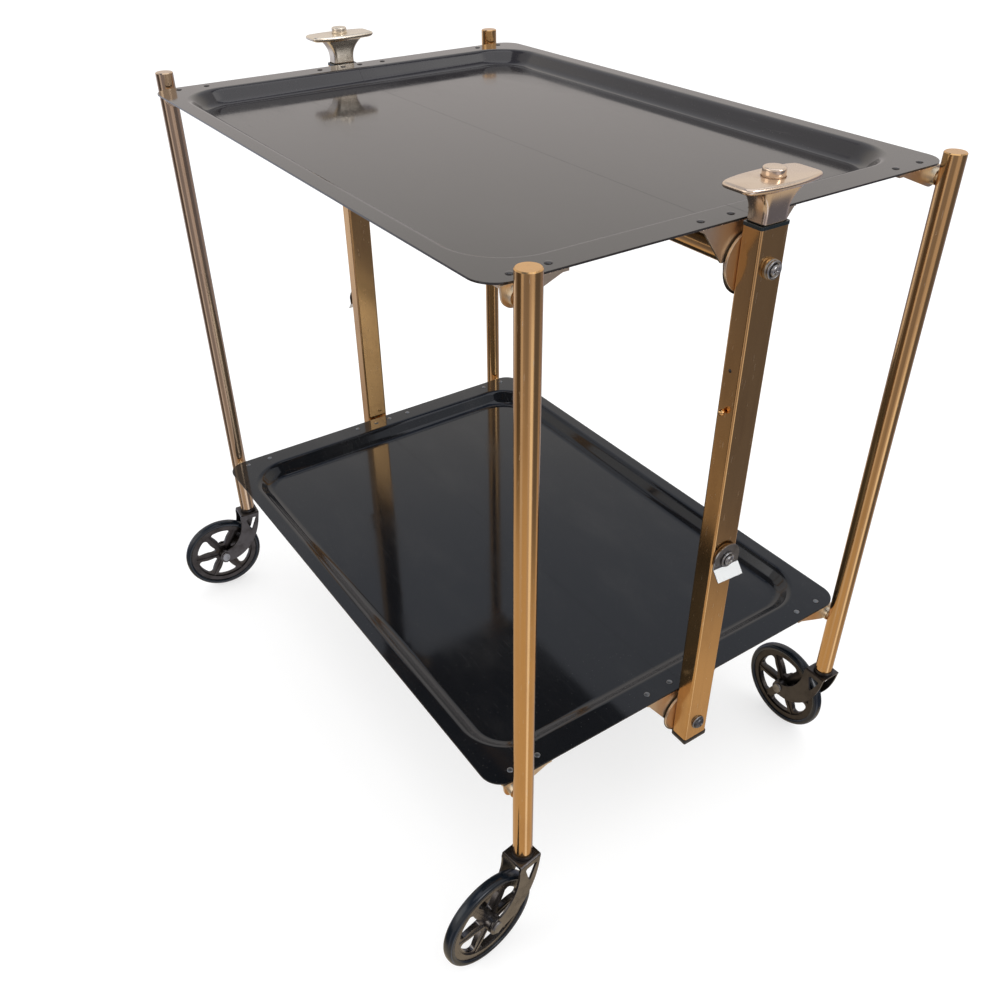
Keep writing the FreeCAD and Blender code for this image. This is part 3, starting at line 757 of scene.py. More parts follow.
@dataclass
class TrayHalf:
    """One pressed half of a tray: a flat rim, a sloped wall with rolled bends, and a floor."""

    level: Level
    side: Side
    end_flange: float = 0.024
    side_flange: float = 0.0125
    rim_corner: float = 0.021
    recess_corner: float = 0.052
    recess_depth: float = 0.014
    wall_angle: float = math.radians(50.0)
    sheet: float = 0.0016
    top_bend: float = 0.0075
    foot_bend: float = 0.0135
    seam: float = 0.00002
    bend_steps: int = 12
    corner_steps: int = 28
    edge_round: float = 0.00018
    edge_angle: float = 60.0
    edge_steps: int = 3

    @property
    def node(self) -> str:
        """The CAD node that this half stands for."""
        return f"tray_{self.level.value}_{self.side.value}"

    def wall_run(self) -> float:
        """How far the wall runs inwards from the recess line.

        Returns:
            The distance.
        """
        bends = self.top_bend + self.foot_bend + self.sheet
        slope = (self.recess_depth - bends * (1 - math.cos(self.wall_angle))) / math.sin(self.wall_angle)
        return bends * math.sin(self.wall_angle) + slope * math.cos(self.wall_angle)

    def wall(self, top: float, foot: float, height: float) -> Profile:
        """The wall's line from the rim to the floor.

        Args:
            top: the radius of the bend at the rim.
            foot: the radius of the bend at the floor.
            height: the rim surface's height.

        Returns:
            Pairs of distance inwards and height.
        """
        angles = [self.wall_angle * step / self.bend_steps for step in range(self.bend_steps + 1)]
        line = [(top * math.sin(a), height - top * (1 - math.cos(a))) for a in angles]
        run = self.wall_run()
        line += [(run - foot * math.sin(a), height - self.recess_depth + foot * (1 - math.cos(a)))
                 for a in reversed(angles)]
        return line

    def row(self, shape: bmesh.types.BMesh, half_x: float, half_y: float, radius: float,
            z: float) -> list[bmesh.types.BMVert]:
        """One row of points round the left half, from the seam at the near end to the far one.

        Args:
            shape: the mesh.
            half_x: half the outline's length.
            half_y: half its width.
            radius: its corner radius.
            z: its height.

        Returns:
            The points in order.
        """
        flat_x, flat_y = half_x - radius, half_y - radius
        places = [Vector((half_x, -self.seam, z))]
        for centre_x, start in ((flat_x, 0.0), (-flat_x, math.pi / 2)):
            for step in range(self.corner_steps + 1):
                a = start + math.pi / 2 * step / self.corner_steps
                places.append(Vector((centre_x + radius * math.cos(a), -flat_y - radius * math.sin(a), z)))
        places.append(Vector((-half_x, -self.seam, z)))
        return [shape.verts.new(p) for p in places]

    def build(self) -> Piece:
        """Builds the half as one closed sheet.

        Returns:
            The new piece.
        """
        low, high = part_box(self.node)
        half_x, half_y = high.x, max(-low.y, high.y)
        rim = high.z - self.sheet
        line_x, line_y = half_x - self.end_flange, half_y - self.side_flange
        shape = bmesh.new()
        rows = [self.row(shape, half_x, half_y, self.rim_corner, rim + self.sheet)]
        top = self.wall(self.top_bend + self.sheet, self.foot_bend, self.sheet)
        under = self.wall(self.top_bend, self.foot_bend + self.sheet, 0.0)
        for inwards, z in top + under[::-1]:
            rows.append(self.row(shape, line_x - inwards, line_y - inwards,
                                 self.recess_corner - inwards, rim + z))
        rows.append(self.row(shape, half_x, half_y, self.rim_corner, rim))
        floor_top, floor_under = rows[len(top)], rows[len(top) + 1]
        for first, second in zip(rows, rows[1:] + rows[:1]):
            if first is floor_top:
                continue
            for step in range(len(first) - 1):
                shape.faces.new((first[step], first[step + 1], second[step + 1], second[step]))
        shape.faces.new(floor_top)
        shape.faces.new(floor_under[::-1])
        shape.faces.new([r[0] for r in rows])
        shape.faces.new([r[-1] for r in reversed(rows)])
        shape.faces.new((floor_top[0], floor_top[-1], floor_under[-1], floor_under[0]))
        if self.side is Side.RIGHT:
            bmesh.ops.transform(shape, matrix=Matrix.Rotation(math.pi, 4, "Z"), verts=shape.verts)
        piece = mesh_piece(f"pressed_{self.node}", shape)
        return soften(piece, self.edge_round, self.edge_angle, self.edge_steps)

    def fit(self, finishes: Finishes) -> None:
        """Builds and dresses the half."""
        finish = finishes.upper_tray if self.level is Level.UPPER else finishes.lower_tray
        dress(self.build(), finish, body_of(self.node), [self.node])


# ---------------------------------------------------------------- metalwork copied from the solids

@dataclass
class Metalwork:
    """The brackets, bars, tubes, discs, handles and clasps, with their edges rounded."""

    edge: float = 0.0003
    fine_edge: float = 0.00025
    washer_edge: float = 0.0002
    gasket_edge: float = 0.0004
    ear_shoulder: float = 0.0068
    pin_drop: float = 0.007
    washer_share: float = 0.925
    washer_shift: float = -0.0010
    washer_drop: float = 0.0019
    cap_lip: float = 0.0004
    cap_points: int = 144
    cap_square: float = 22.0
    cap_profile: tuple[Span, ...] = ((0.0022, 0.0), (0.0010, 0.0003), (0.0003, 0.0009), (0.0, 0.0018),
                                     (0.0, 0.0058), (0.0002, 0.0062), (0.0006, 0.0062))
    clasp_turn: float = -12.0
    clasp_share: float = 0.96
    clasp_sheet: float = 0.0012

    def bracket_set(self, level: Level, side: Side, finishes: Finishes) -> None:
        """The four brackets of one tray half, with pale spacers on the leg pins.

        Args:
            level: which tray.
            side: which half.
            finishes: the trolley's finishes.
        """
        node = f"brackets_{level.value}_{side.value}"
        piece = soften(copy_of(node, f"plated_{node}"), self.edge)
        outer = frame_places().outer_web
        pin_y = frame_places().leg_y
        pin_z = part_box(node)[1].z - self.pin_drop

        def on_pin(p: Vector) -> bool:
            """Whether a face belongs to a leg pin."""
            near_pin = math.hypot(abs(p.y) - pin_y, p.z - pin_z) < self.ear_shoulder
            return abs(p.x) > outer + MARGIN and near_pin

        paint_faces(piece, on_pin, 1)
        dress(piece, [finishes.bracket, finishes.pin], body_of(node), [node])

    def plain(self, node: str, finish: Finish, slot: str, edge: Optional[float] = None) -> Piece:
        """A node with its edges rounded and one finish.

        Args:
            node: the CAD node.
            finish: its material.
            slot: not used.
            edge: the rounding's width, or None for the usual one.

        Returns:
            The new piece.
        """
        piece = soften(copy_of(node, f"finished_{node}"), self.edge if edge is None else edge)
        return dress(piece, finish, body_of(node), [node])

    def washers(self, finishes: Finishes) -> None:
        """The thin black washers, which hang a little below their discs' middles.

        Args:
            finishes: the trolley's finishes.
        """
        node = "hinge_washers"
        pivots = frame_places().pivot
        piece = soften(copy_of(node, f"hanging_{node}"), self.washer_edge)

        def hang(p: Vector) -> Vector:
            """Moves a washer's point down and to the side.

            Args:
                p: the point.

            Returns:
                Its new place.
            """
            level = min(pivots.values(), key=lambda z: abs(p.z - z))
            sign = 1.0 if p.x < 0 else -1.0
            return Vector((p.x, p.y * self.washer_share + sign * self.washer_shift,
                           level + (p.z - level) * self.washer_share - self.washer_drop))

        dress(warp(piece, hang), finishes.plastic, body_of(node), [node])

    def foot_caps(self, finishes: Finishes) -> None:
        """The black caps whose lips close round the bars' feet.

        Args:
            finishes: the trolley's finishes.
        """
        node = "bar_end_caps"
        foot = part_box(node)[0].z
        places = frame_places()
        half_x = places.bar_outer - places.bar_middle + self.cap_lip
        half_y = places.bar_half_width + self.cap_lip
        shape = bmesh.new()
        for end in ENDS:
            centre = ALONG * (end * places.bar_middle)
            loft(shape, [round_ring(centre, foot + rise,
                                    lambda a: squared(a, half_x - inset, half_y - inset, self.cap_square),
                                    self.cap_points)
                         for inset, rise in self.cap_profile])
        dress(mesh_piece(f"lipped_{node}", shape), finishes.plastic, body_of(node), [node])

    def clasp(self, end: End, finishes: Finishes) -> None:
        """One clasp: a dull plate and its bright bent tab, tilted as it hangs.

        Args:
            end: which end of the trolley.
            finishes: the trolley's finishes.
        """
        node = f"leg_clasp_{end.value}"
        sign = 1.0 if end is End.NEAR else -1.0
        centre = Vector((0.0, 0.0, middle("clasp_pins").z))
        turn = Matrix.Rotation(math.radians(self.clasp_turn) * sign, 3, "X") * self.clasp_share
        piece = copy_of(node, f"hanging_{node}")

        def hang(p: Vector) -> Vector:
            """Turns a clasp's point about its screw and draws it in."""
            moved = turn @ (Vector((0.0, p.y, p.z)) - centre) + centre
            return Vector((p.x, moved.y, moved.z))

        low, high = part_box(node)
        tab_start = min(abs(low.x), abs(high.x)) + self.clasp_sheet
        paint_faces(piece, lambda p: abs(p.x) > tab_start + 2 * MARGIN, 1)
        soften(warp(piece, hang), self.fine_edge)
        dress(piece, [finishes.steel, finishes.pale_steel], body_of(node), [node])

    def fit(self, finishes: Finishes) -> None:
        """Builds and dresses every piece of metalwork.

        Args:
            finishes: the trolley's finishes.
        """
        for level in Level:
            for side in Side:
                self.bracket_set(level, side, finishes)
        self.plain("centre_bars", finishes.bar, "tube", self.fine_edge)
        self.plain("cross_tubes", finishes.tube, "tube")
        self.plain("hinge_discs", finishes.bracket, "tube")
        self.washers(finishes)
        self.plain("bar_gaskets", finishes.gasket, "gasket", self.gasket_edge)
        self.foot_caps(finishes)
        self.plain("clasp_pins", finishes.steel, "steel")
        for end in End:
            self.plain(f"release_rod_{end.value}", finishes.steel, "steel")
            self.clasp(end, finishes)


@dataclass
class Handle:
    """One cast T handle with a flared neck, and its round push button."""

    end: End
    neck_half_x: float = 0.0089
    neck_half_y: float = 0.0121
    neck_square: float = 7.0
    neck_waist: float = 0.0009
    flare_x: float = 0.0048
    flare_y: float = 0.0100
    flare_curve: float = 2.7
    neck_height: float = 0.0253
    plate: float = 0.0055
    end_half: float = 0.0128
    mid_half: float = 0.0182
    half_length: float = 0.0368
    corner: float = 16.0
    plate_profile: tuple[Span, ...] = ((0.0030, 0.0053), (0.0012, 0.0045), (0.0004, 0.0037), (0.0, 0.0029),
                                       (0.0, 0.0023), (0.0003, 0.0016), (0.0010, 0.0009),
                                       (0.0018, 0.0005), (0.0028, 0.0004))
    bore: float = 0.0085
    bore_profile: tuple[Span, ...] = ((0.0030, 0.0001), (0.0004, 0.0), (0.0, 0.0004), (0.0, 0.0181))
    button_radius: float = 0.0082
    button_length: float = 0.0125
    button_foot: float = 0.0004
    button_profile: tuple[Span, ...] = ((0.0, 0.0016), (0.0001, 0.0009), (0.0005, 0.0004),
                                        (0.0011, 0.0001), (0.0019, 0.0))
    button_steps: int = 64
    points: int = 192
    neck_steps: int = 16

    def plate_reach(self, angle: float) -> float:
        """How far the plate's outline is from its middle in one direction.

        Args:
            angle: the direction, from the X axis.

        Returns:
            The distance.
        """
        c, s = abs(math.cos(angle)), max(abs(math.sin(angle)), 1e-6)
        bow = (self.mid_half - self.end_half) / self.half_length ** 2
        side = (math.sqrt(c * c + 4 * bow * s * s * self.mid_half) - c) / (2 * bow * s * s)
        end = self.half_length / s
        return (side ** -self.corner + end ** -self.corner) ** (-1 / self.corner)

    def build(self) -> Piece:
        """Builds the casting as one closed skin from the gasket up and down its bore.

        Returns:
            The new piece.
        """
        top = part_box("handles")[1].z
        foot = top - self.plate - self.neck_height
        sign = 1.0 if self.end is End.NEAR else -1.0
        centre = ALONG * (sign * frame_places().bar_middle)
        rings = []
        for step in range(self.neck_steps + 1):
            share = step / self.neck_steps
            flare = share ** self.flare_curve
            half_x = self.neck_half_x + self.flare_x * flare
            waist = self.neck_waist * math.sin(math.pi * share)
            half_y = self.neck_half_y + self.flare_y * flare - waist
            rings.append(round_ring(centre, foot + self.neck_height * share,
                                    lambda a: squared(a, half_x, half_y, self.neck_square), self.points))
        for inset, drop in self.plate_profile:
            rings.append(round_ring(centre, top - drop, lambda a: self.plate_reach(a) - inset, self.points))
        for inset, drop in self.bore_profile:
            rings.append(round_ring(centre, top - drop, lambda a: self.bore + inset, self.points))
        shape = bmesh.new()
        loft(shape, rings)
        return mesh_piece(f"cast_handle_{self.end.value}", shape)

    def button(self) -> Piece:
        """Builds the push button with its rounded edge.

        Returns:
            The new piece.
        """
        node = f"push_button_{self.end.value}"
        centre = middle(node)
        top = self.button_length
        r = self.button_radius
        profile = [(0.0, 0.0), (0.0, r - self.button_foot), (self.button_foot, r)]
        profile += [(top - drop, r - inset) for inset, drop in self.button_profile] + [(top, 0.0)]
        foot = Vector((centre.x, 0.0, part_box(node)[0].z))
        return lathe(f"domed_{node}", profile, foot, UP, self.button_steps)

    def fit(self, finishes: Finishes, stands_for: list[str]) -> None:
        """Builds and dresses the handle and its button.

        Args:
            finishes: the trolley's finishes.
            stands_for: the CAD nodes that the casting replaces.
        """
        # The far handle takes the paler copy of the handle finish.
        finish = finishes.handle if self.end is End.NEAR else finishes.pale_far_handle
        dress(self.build(), finish, "centre_frame", stands_for)
        node = f"push_button_{self.end.value}"
        dress(self.button(), finish, body_of(node), [node])


@dataclass
class Places:
    """Places that several sub-assemblies share, worked out from the frame."""

    outer_web: float
    leg_y: float
    bar_outer: float
    bar_middle: float
    bar_half_width: float
    pivot: dict[Level, float]
    rim: dict[Level, float]
    washer_sheet: ClassVar[float] = 0.0012
    washer_gap: ClassVar[float] = 0.0003


def frame_places() -> Places:
    """Reads the shared places from the frame.

    Returns:
        The places.
    """
    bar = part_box("centre_bars")[1]
    disc_low, disc_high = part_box("hinge_discs")
    return Places(
        outer_web=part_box("hinge_washers")[1].x - Places.washer_sheet - Places.washer_gap,
        leg_y=abs(middle("leg_near_left").y),
        bar_outer=bar.x,
        bar_middle=middle("push_button_near").x,
        bar_half_width=bar.y,
        pivot={Level.UPPER: disc_high.z - disc_high.y, Level.LOWER: disc_low.z + disc_high.y},
        rim={level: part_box(f"tray_{level.value}_left")[1].z - TrayHalf.sheet for level in Level},
    )


# ---------------------------------------------------------------- legs and casters

@dataclass
class LegAndCaster:
    """One leg tube with its bush, and its caster: fork, axle, wheel and tyre."""

    corner: str
    # The corner whose fork and wheel keep the brighter metals; the other casters get darker copies as painted
    # shade.
    lit_corner: str = "near_left"
    # The corner whose leg takes the paler copy of the tube finish, a painted highlight rather than wear.
    worn: str = "far_left"
    bush_flange: float = 0.0037
    bush_length: float = 0.038
    leg_wall_inside: float = 0.00745
    tyre_half: float = 0.0056
    tyre_depth: float = 0.0066
    tyre_bead: float = 0.8
    tyre_seat: float = 0.96
    seat_rise: float = 0.0006
    tread_share: float = 0.62
    tread_round: float = 0.8
    tyre_steps: int = 18
    tyre_faces: int = 96
    rim_edge: float = 0.0405
    rim_growth: float = 0.0028
    wheel_share: float = 0.55
    hub_radius: float = 0.0121
    hub_share: float = 0.68
    hub_length_share: float = 0.92
    fork_width_share: float = 0.9
    fork_top_share: float = 0.68
    fork_arm_share: float = 0.8
    axle_radius: float = 0.0063
    axle_head: float = 0.0142
    edge: float = 0.00035
    tube_edge: float = 0.0004

    def leg(self, finishes: Finishes) -> None:
        """The tube with its dark bush.

        Args:
            finishes: the trolley's finishes.
        """
        node = f"leg_{self.corner}"
        piece = soften(copy_of(node, f"tube_{node}"), self.tube_edge)
        centre = middle(node)
        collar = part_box(node)[0].z + self.bush_flange + MARGIN

        def on_bush(p: Vector) -> bool:
            """Whether a face belongs to the bush."""
            inside = math.hypot(p.x - centre.x, p.y - centre.y) < self.leg_wall_inside
            return p.z < collar or (inside and p.z < collar + self.bush_length)

        paint_faces(piece, on_bush, 1)
        # The far-left leg gets the paler copy of the tube finish: a painted highlight.
        finish = finishes.pale_highlight_tube if self.corner == self.worn else finishes.tube
        dress(piece, [finish, finishes.plastic], body_of(node), [node])

    def axle_line(self) -> tuple[Vector, Vector, Vector]:
        """The wheel's middle, its axle's direction and the way it trails.

        Returns:
            A point and two level directions.
        """
        centre = middle(f"tyre_{self.corner}")
        leg = middle(f"leg_{self.corner}")
        trail = Vector((centre.x - leg.x, centre.y - leg.y, 0.0)).normalized()
        return centre, UP.cross(trail), trail

    def fork(self, finishes: Finishes) -> None:
        """The fork with its axle, a little slimmer than its solid.

        Args:
            finishes: the trolley's finishes.
        """
        node = f"caster_fork_{self.corner}"
        piece = copy_of(node, f"pressed_{node}")
        centre, axis, trail = self.axle_line()
        leg = middle(f"leg_{self.corner}")
        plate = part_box(f"leg_{self.corner}")[0].z
        reach = (centre - leg).dot(trail)

        def on_axle(p: Vector) -> bool:
            """Says whether a face belongs to the axle's heads.

            Args:
                p: the face's middle.

            Returns:
                True for a face of the axle.
            """
            away = p - centre
            across = away.dot(axis)
            return (away - axis * across).length < self.axle_radius and abs(across) > self.axle_head

        def slim(p: Vector) -> Vector:
            """Draws a fork's point in towards the line from the leg to the axle.

            Args:
                p: the point.

            Returns:
                Its new place.
            """
            if p.z > plate:
                return p
            share = min(max((plate - p.z) / (plate - centre.z), 0.0), 1.0)
            arm = reach * share
            keep = self.fork_top_share + (self.fork_arm_share - self.fork_top_share) * share
            along = (p - leg).dot(trail)
            across = (p - leg).dot(axis)
            inwards = (arm + (along - arm) * keep) - along
            return p + trail * inwards + axis * (across * (self.fork_width_share - 1))

        paint_faces(piece, on_axle, 1)
        soften(warp(piece, slim), self.edge)
        # The other three forks get a darker copy of the metal: painted shade.
        finish = finishes.fork if self.corner == self.lit_corner else finishes.shaded_fork
        dress(piece, [finish, finishes.steel], body_of(node), [node])

    def wheel(self, finishes: Finishes) -> None:
        """The spoked wheel, slimmer than its solid, with a small hub.

        Args:
            finishes: the trolley's finishes.
        """
        node = f"wheel_{self.corner}"
        piece = copy_of(node, f"cast_{node}")
        centre, axis, _ = self.axle_line()

        def slim(p: Vector) -> Vector:
            """Draws a wheel's point in along the axle.

            Args:
                p: the point.

            Returns:
                Its new place.
            """
            away = p - centre
            across = away.dot(axis)
            flat = away - axis * across
            if flat.length < self.hub_radius:
                return centre + flat * self.hub_share + axis * (across * self.hub_length_share)
            if flat.length > self.rim_edge:
                flat *= (flat.length + self.rim_growth) / flat.length
            return centre + flat + axis * (across * self.wheel_share)

        soften(warp(piece, slim), self.edge)
        # The other three wheels get a darker copy of the metal: painted shade.
        finish = finishes.wheel if self.corner == self.lit_corner else finishes.shaded_wheel
        dress(piece, finish, body_of(node), [node])

    def tyre(self, finishes: Finishes) -> None:
        """The tyre, with a round tread.

        Args:
            finishes: the trolley's finishes.
        """
        node = f"tyre_{self.corner}"
        low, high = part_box(node)
        outer = (high.z - low.z) / 2
        seat = outer - self.tyre_depth
        wide = self.tyre_half
        flank = seat + self.seat_rise
        profile = [(wide * self.tyre_bead, seat), (wide * self.tyre_seat, flank)]
        for step in range(self.tyre_steps + 1):
            a = math.pi * step / self.tyre_steps
            swell = math.sin(a) ** self.tread_round
            across = math.copysign(abs(math.cos(a)) ** self.tread_round, math.cos(a)) * wide
            profile.append((across, outer - self.tyre_depth * self.tread_share * (1 - swell)))
        profile += [(-wide * self.tyre_seat, flank), (-wide * self.tyre_bead, seat), profile[0]]
        centre, axis, _ = self.axle_line()
        piece = lathe(f"rounded_{node}", profile, centre, axis, self.tyre_faces)
        dress(piece, finishes.tyre, body_of(node), [node])

    def fit(self, finishes: Finishes) -> None:
        """Builds and dresses the leg and its caster.

        Args:
            finishes: the trolley's finishes.
        """
        self.leg(finishes)
        self.fork(finishes)
        self.wheel(finishes)
        self.tyre(finishes)


# ---------------------------------------------------------------- node trees for what repeats

def baked(holder: Piece, name: str) -> Piece:
    """Turns an object with modifiers into a plain mesh piece.

    Args:
        holder: the object, which is removed.
        name: the new piece's name.

    Returns:
        The new piece.
    """
    bpy.context.view_layer.update()
    evaluated = holder.evaluated_get(bpy.context.evaluated_depsgraph_get())
    mesh = bpy.data.meshes.new_from_object(evaluated)
    mesh.name = name
    bpy.data.objects.remove(holder)
    return smooth_piece(name, mesh)


class PieceTree(Board):
    """A node tree for shapes, which ends in real geometry with its finish set."""

    def __init__(self, name: str, inputs: dict[str, str]) -> None:
        """Starts the tree with its named inputs.

        Args:
            name: the tree's name.
            inputs: the kind of each input by its name, the geometry first.
        """
        super().__init__(bpy.data.node_groups.new(name, "GeometryNodeTree"))
        for label, kind in {**inputs, "Finish": "Material"}.items():
            self.tree.interface.new_socket(name=label, in_out="INPUT", socket_type=f"NodeSocket{kind}")
        self.tree.interface.new_socket(name="Made", in_out="OUTPUT", socket_type="NodeSocketGeometry")
        self.start = self.node("NodeGroupInput", {}, {})

    def given(self, name: str) -> Signal:
        """One of the tree's inputs."""
        return self.out(self.start, name)

    def close(self, geometry: Signal) -> None:
        """Makes the geometry real, sets its finish and gives it out.

        Args:
            geometry: what the tree has made.
        """
        real = self.node("GeometryNodeRealizeInstances", {}, {"Geometry": geometry})
        sockets = {"Geometry": self.out(real), "Material": self.given("Finish")}
        finished = self.node("GeometryNodeSetMaterial", {}, sockets)
        self.node("NodeGroupOutput", {}, {"Made": self.out(finished)})

    def run(self, name: str, mesh: bpy.types.Mesh, values: dict[str, object]) -> Piece:
        """Runs the tree and makes one plain mesh of what it gives.

        Args:
            name: the new piece's name.
            mesh: the mesh that it starts from.
            values: the tree's inputs by name.

        Returns:
            The new piece.
        """
        holder = linked(f"{name}_start", mesh)
        steps = holder.modifiers.new("steps", "NODES")
        steps.node_group = self.tree
        for socket in self.tree.interface.items_tree:
            if socket.in_out == "INPUT" and socket.name in values:
                steps[socket.identifier] = values[socket.name]
        return baked(holder, name)


class RowTree(PieceTree):
    """Sets one small pattern piece at every point, turned as the point says."""

    def __init__(self) -> None:
        """Builds the tree."""
        super().__init__("fastener_row", {"Points": "Geometry", "Pattern": "Object", "Size": "Float"})
        turn = self.node("GeometryNodeInputNamedAttribute", {"data_type": "FLOAT_VECTOR"}, {"Name": "turn"})
        rotation = self.node("FunctionNodeEulerToRotation", {}, {0: self.out(turn, "Attribute")})
        pattern = self.node("GeometryNodeObjectInfo", {}, {"Object": self.given("Pattern")})
        row = self.node("GeometryNodeInstanceOnPoints", {}, {
            "Points": self.given("Points"), "Instance": self.out(pattern, "Geometry"),
            "Rotation": self.out(rotation), "Scale": self.given("Size")})
        self.close(self.out(row))

    def lay(self, name: str, places: Row, pattern: Piece, finish: Finish, size: float = 1.0) -> Piece:
        """Sets the pattern piece at each place and makes one plain mesh of them.

        Args:
            name: the new piece's name.
            places: pairs of a point and the direction that the pattern's Z axis takes there.
            pattern: the small piece, made round the origin.
            finish: its material.
            size: how much larger than the pattern each one is.

        Returns:
            The new piece.
        """
        mesh = bpy.data.meshes.new(f"{name}_points")
        mesh.from_pydata([p for p, _ in places], [], [])
        turns = mesh.attributes.new("turn", "FLOAT_VECTOR", "POINT")
        for place, (_, axis) in enumerate(places):
            turns.data[place].vector = axis.to_track_quat("Z", "Y").to_euler()
        return self.run(name, mesh, {"Pattern": pattern, "Size": size, "Finish": finish})


class SpringTree(PieceTree):
    """Winds a coil spring round the upright axis."""

    points_a_turn: int = 24
    points_round_wire: int = 10

    def __init__(self) -> None:
        """Builds the tree."""
        super().__init__("coil_spring", {"Seat": "Geometry", "Turns": "Float", "Radius": "Float",
                                         "Height": "Float", "Wire": "Float", "Foot": "Vector"})
        radius = self.given("Radius")
        coil = self.node("GeometryNodeCurveSpiral", {}, {
            "Resolution": self.points_a_turn, "Rotations": self.given("Turns"),
            "Start Radius": radius, "End Radius": radius, "Height": self.given("Height")})
        wire = self.node("GeometryNodeCurvePrimitiveCircle", {}, {
            "Resolution": self.points_round_wire, "Radius": self.given("Wire")})
        body = self.node("GeometryNodeCurveToMesh", {}, {
            "Curve": self.out(coil), "Profile Curve": self.out(wire), "Fill Caps": True})
        spring = self.node("GeometryNodeTransform", {}, {
            "Geometry": self.out(body), "Translation": self.given("Foot")})
        self.close(self.out(spring))


# ---------------------------------------------------------------- small fasteners

@dataclass
class Fasteners:
    """Rivets, pivot screws with their collars, clasp nuts and guide studs."""

    finishes: Finishes
    row: RowTree = field(default_factory=RowTree)
    dome_side: float = 0.25
    dome_steps: int = 6
    rivet_radius: float = 0.0029
    rivet_head: float = 0.0010
    rivet_foot: float = 0.0004
    rivet_faces: int = 24
    rivet_x: float = 0.299
    hinge_rivets: Span = (0.0103, 0.039)
    corner_rivets: Span = (0.1685, 0.198)
    bracket_sheet: float = 0.002
    collar_radius: float = 0.0076
    collar_height: float = 0.0034
    collar_top: float = 0.86
    washer_radius: float = 0.0072
    washer_height: float = 0.0016
    washer_side: float = 0.6
    washer_top: float = 0.92
    washer_hole: float = 1.25
    washer_seat: float = 1.2
    seat_share: float = 0.7
    head_radius: float = 0.0045
    head_height: float = 0.0028
    head_foot: float = 0.0005
    head_faces: int = 40
    slot_width: float = 0.0011
    slot_length: float = 0.0054
    slot_depth: float = 0.0014
    lower_screw: float = 1.3
    stud_height: float = 0.5056
    stud_radius: float = 0.0027
    stud_inset: float = 0.0012
    stud_root: float = 0.001
    stud_neck: float = 0.62
    stud_middle: float = 1.15
    stud_start: float = math.radians(-50.0)
    stud_steps: int = 8
    stud_faces: int = 28
    hole_height: float = 0.540
    hole_radius: float = 0.0015
    hole_depth: float = 0.0006
    hole_front: float = 0.00005
    hole_faces: int = 24
    clasp_front: float = 0.0001
    spacer_radius: float = 0.0122
    spacer_height: float = 0.0024
    spacer_edge: float = 0.0003
    spacer_faces: int = 64

    def dome(self, radius: float, height: float, foot: float) -> Profile:
        """A domed head's profile.

        Args:
            radius: the head's radius.
            height: the dome's height.
            foot: how far it reaches below the surface.

        Returns:
            Pairs of height and radius.
        """
        side = height * self.dome_side
        angles = [math.pi / 2 * step / self.dome_steps for step in range(1, self.dome_steps + 1)]
        return [(-foot, 0.0), (-foot, radius), (side, radius)] + [
            (side + (height - side) * math.sin(a), radius * math.cos(a)) for a in angles]

    def cross_head(self) -> Piece:
        """A domed screw head with a cross recess, made round the origin.

        Returns:
            The pattern piece.
        """
        profile = self.dome(self.head_radius, self.head_height, self.head_foot)
        head = lathe("screw_blank", profile, Vector(), UP, self.head_faces)
        cross = bmesh.new()
        size = Matrix.Diagonal((self.slot_length, self.slot_width, 2 * self.slot_depth, 1.0))
        lift = Matrix.Translation((0.0, 0.0, self.head_height))
        for turn in (0.0, math.pi / 2):
            slot = bmesh.ops.create_cube(cross, size=1.0)["verts"]
            bmesh.ops.transform(cross, matrix=lift @ Matrix.Rotation(turn, 4, "Z") @ size, verts=slot)
        cutter = mesh_piece("screw_cutter", cross)
        cut = head.modifiers.new("cut", "BOOLEAN")
        cut.operation = "DIFFERENCE"
        cut.solver = "EXACT"
        cut.use_self = True
        cut.object = cutter
        made = baked(head, "screw_pattern")
        bpy.data.objects.remove(cutter)
        return made

    def patterns(self) -> dict[str, Piece]:
        """Makes each small piece that is repeated, round the origin.

        Returns:
            The patterns by name.
        """
        rivet = self.dome(self.rivet_radius, self.rivet_head, self.rivet_foot)
        r, h = self.collar_radius, self.collar_height
        collar = [(0.0, 0.0), (0.0, r), (h * self.seat_share, r), (h, r * self.collar_top), (h, 0.0)]
        r, h = self.washer_radius, self.washer_height
        hole, seat = self.head_radius * self.washer_hole, self.head_radius * self.washer_seat
        washer = [(0.0, 0.0), (0.0, r), (h * self.washer_side, r), (h, r * self.washer_top), (h, hole),
                  (h * self.seat_share, seat), (h * self.seat_share, 0.0)]
        return {"rivet": lathe("rivet_pattern", rivet, Vector(), UP, self.rivet_faces),
                "screw": self.cross_head(),
                "collar": lathe("collar_pattern", collar, Vector(), UP),
                "washer": lathe("washer_pattern", washer, Vector(), UP)}

    def rivet_places(self, level: Level, side: Side, up: bool) -> Row:
        """Where one tray half's rivets sit.

        Args:
            level: which tray.
            side: which half.
            up: True for the heads on the rim, and False for the tails under the brackets.

        Returns:
            Pairs of a point and a direction.
        """
        rim = frame_places().rim[level]
        z = rim + TrayHalf.sheet if up else rim - self.bracket_sheet
        sign = -1.0 if side is Side.LEFT else 1.0
        return [(Vector((end * self.rivet_x, sign * y, z)), UP if up else -UP)
                for end in ENDS for y in self.hinge_rivets + self.corner_rivets]

    def rivets(self, pattern: Piece) -> None:
        """The rivets' heads on the rims and their tails under the brackets.

        Args:
            pattern: the rivet's pattern.
        """
        for level in Level:
            for side in Side:
                half = f"{level.value}_{side.value}"
                tray = self.finishes.upper_tray if level is Level.UPPER else self.finishes.rivet
                for part, up, finish, slot in (("heads", True, tray, f"{level.value}_tray"),
                                               ("tails", False, self.finishes.bracket, "bracket")):
                    places = self.rivet_places(level, side, up)
                    made = self.row.lay(f"rivet_{part}_{half}", places, pattern, finish)
                    dress(made, finish, f"half_{half}")

    def on_bars(self, x: float, z: float) -> Row:
        """One place in front of each bar."""
        return [(Vector((end * x, 0.0, z)), ALONG * end) for end in ENDS]

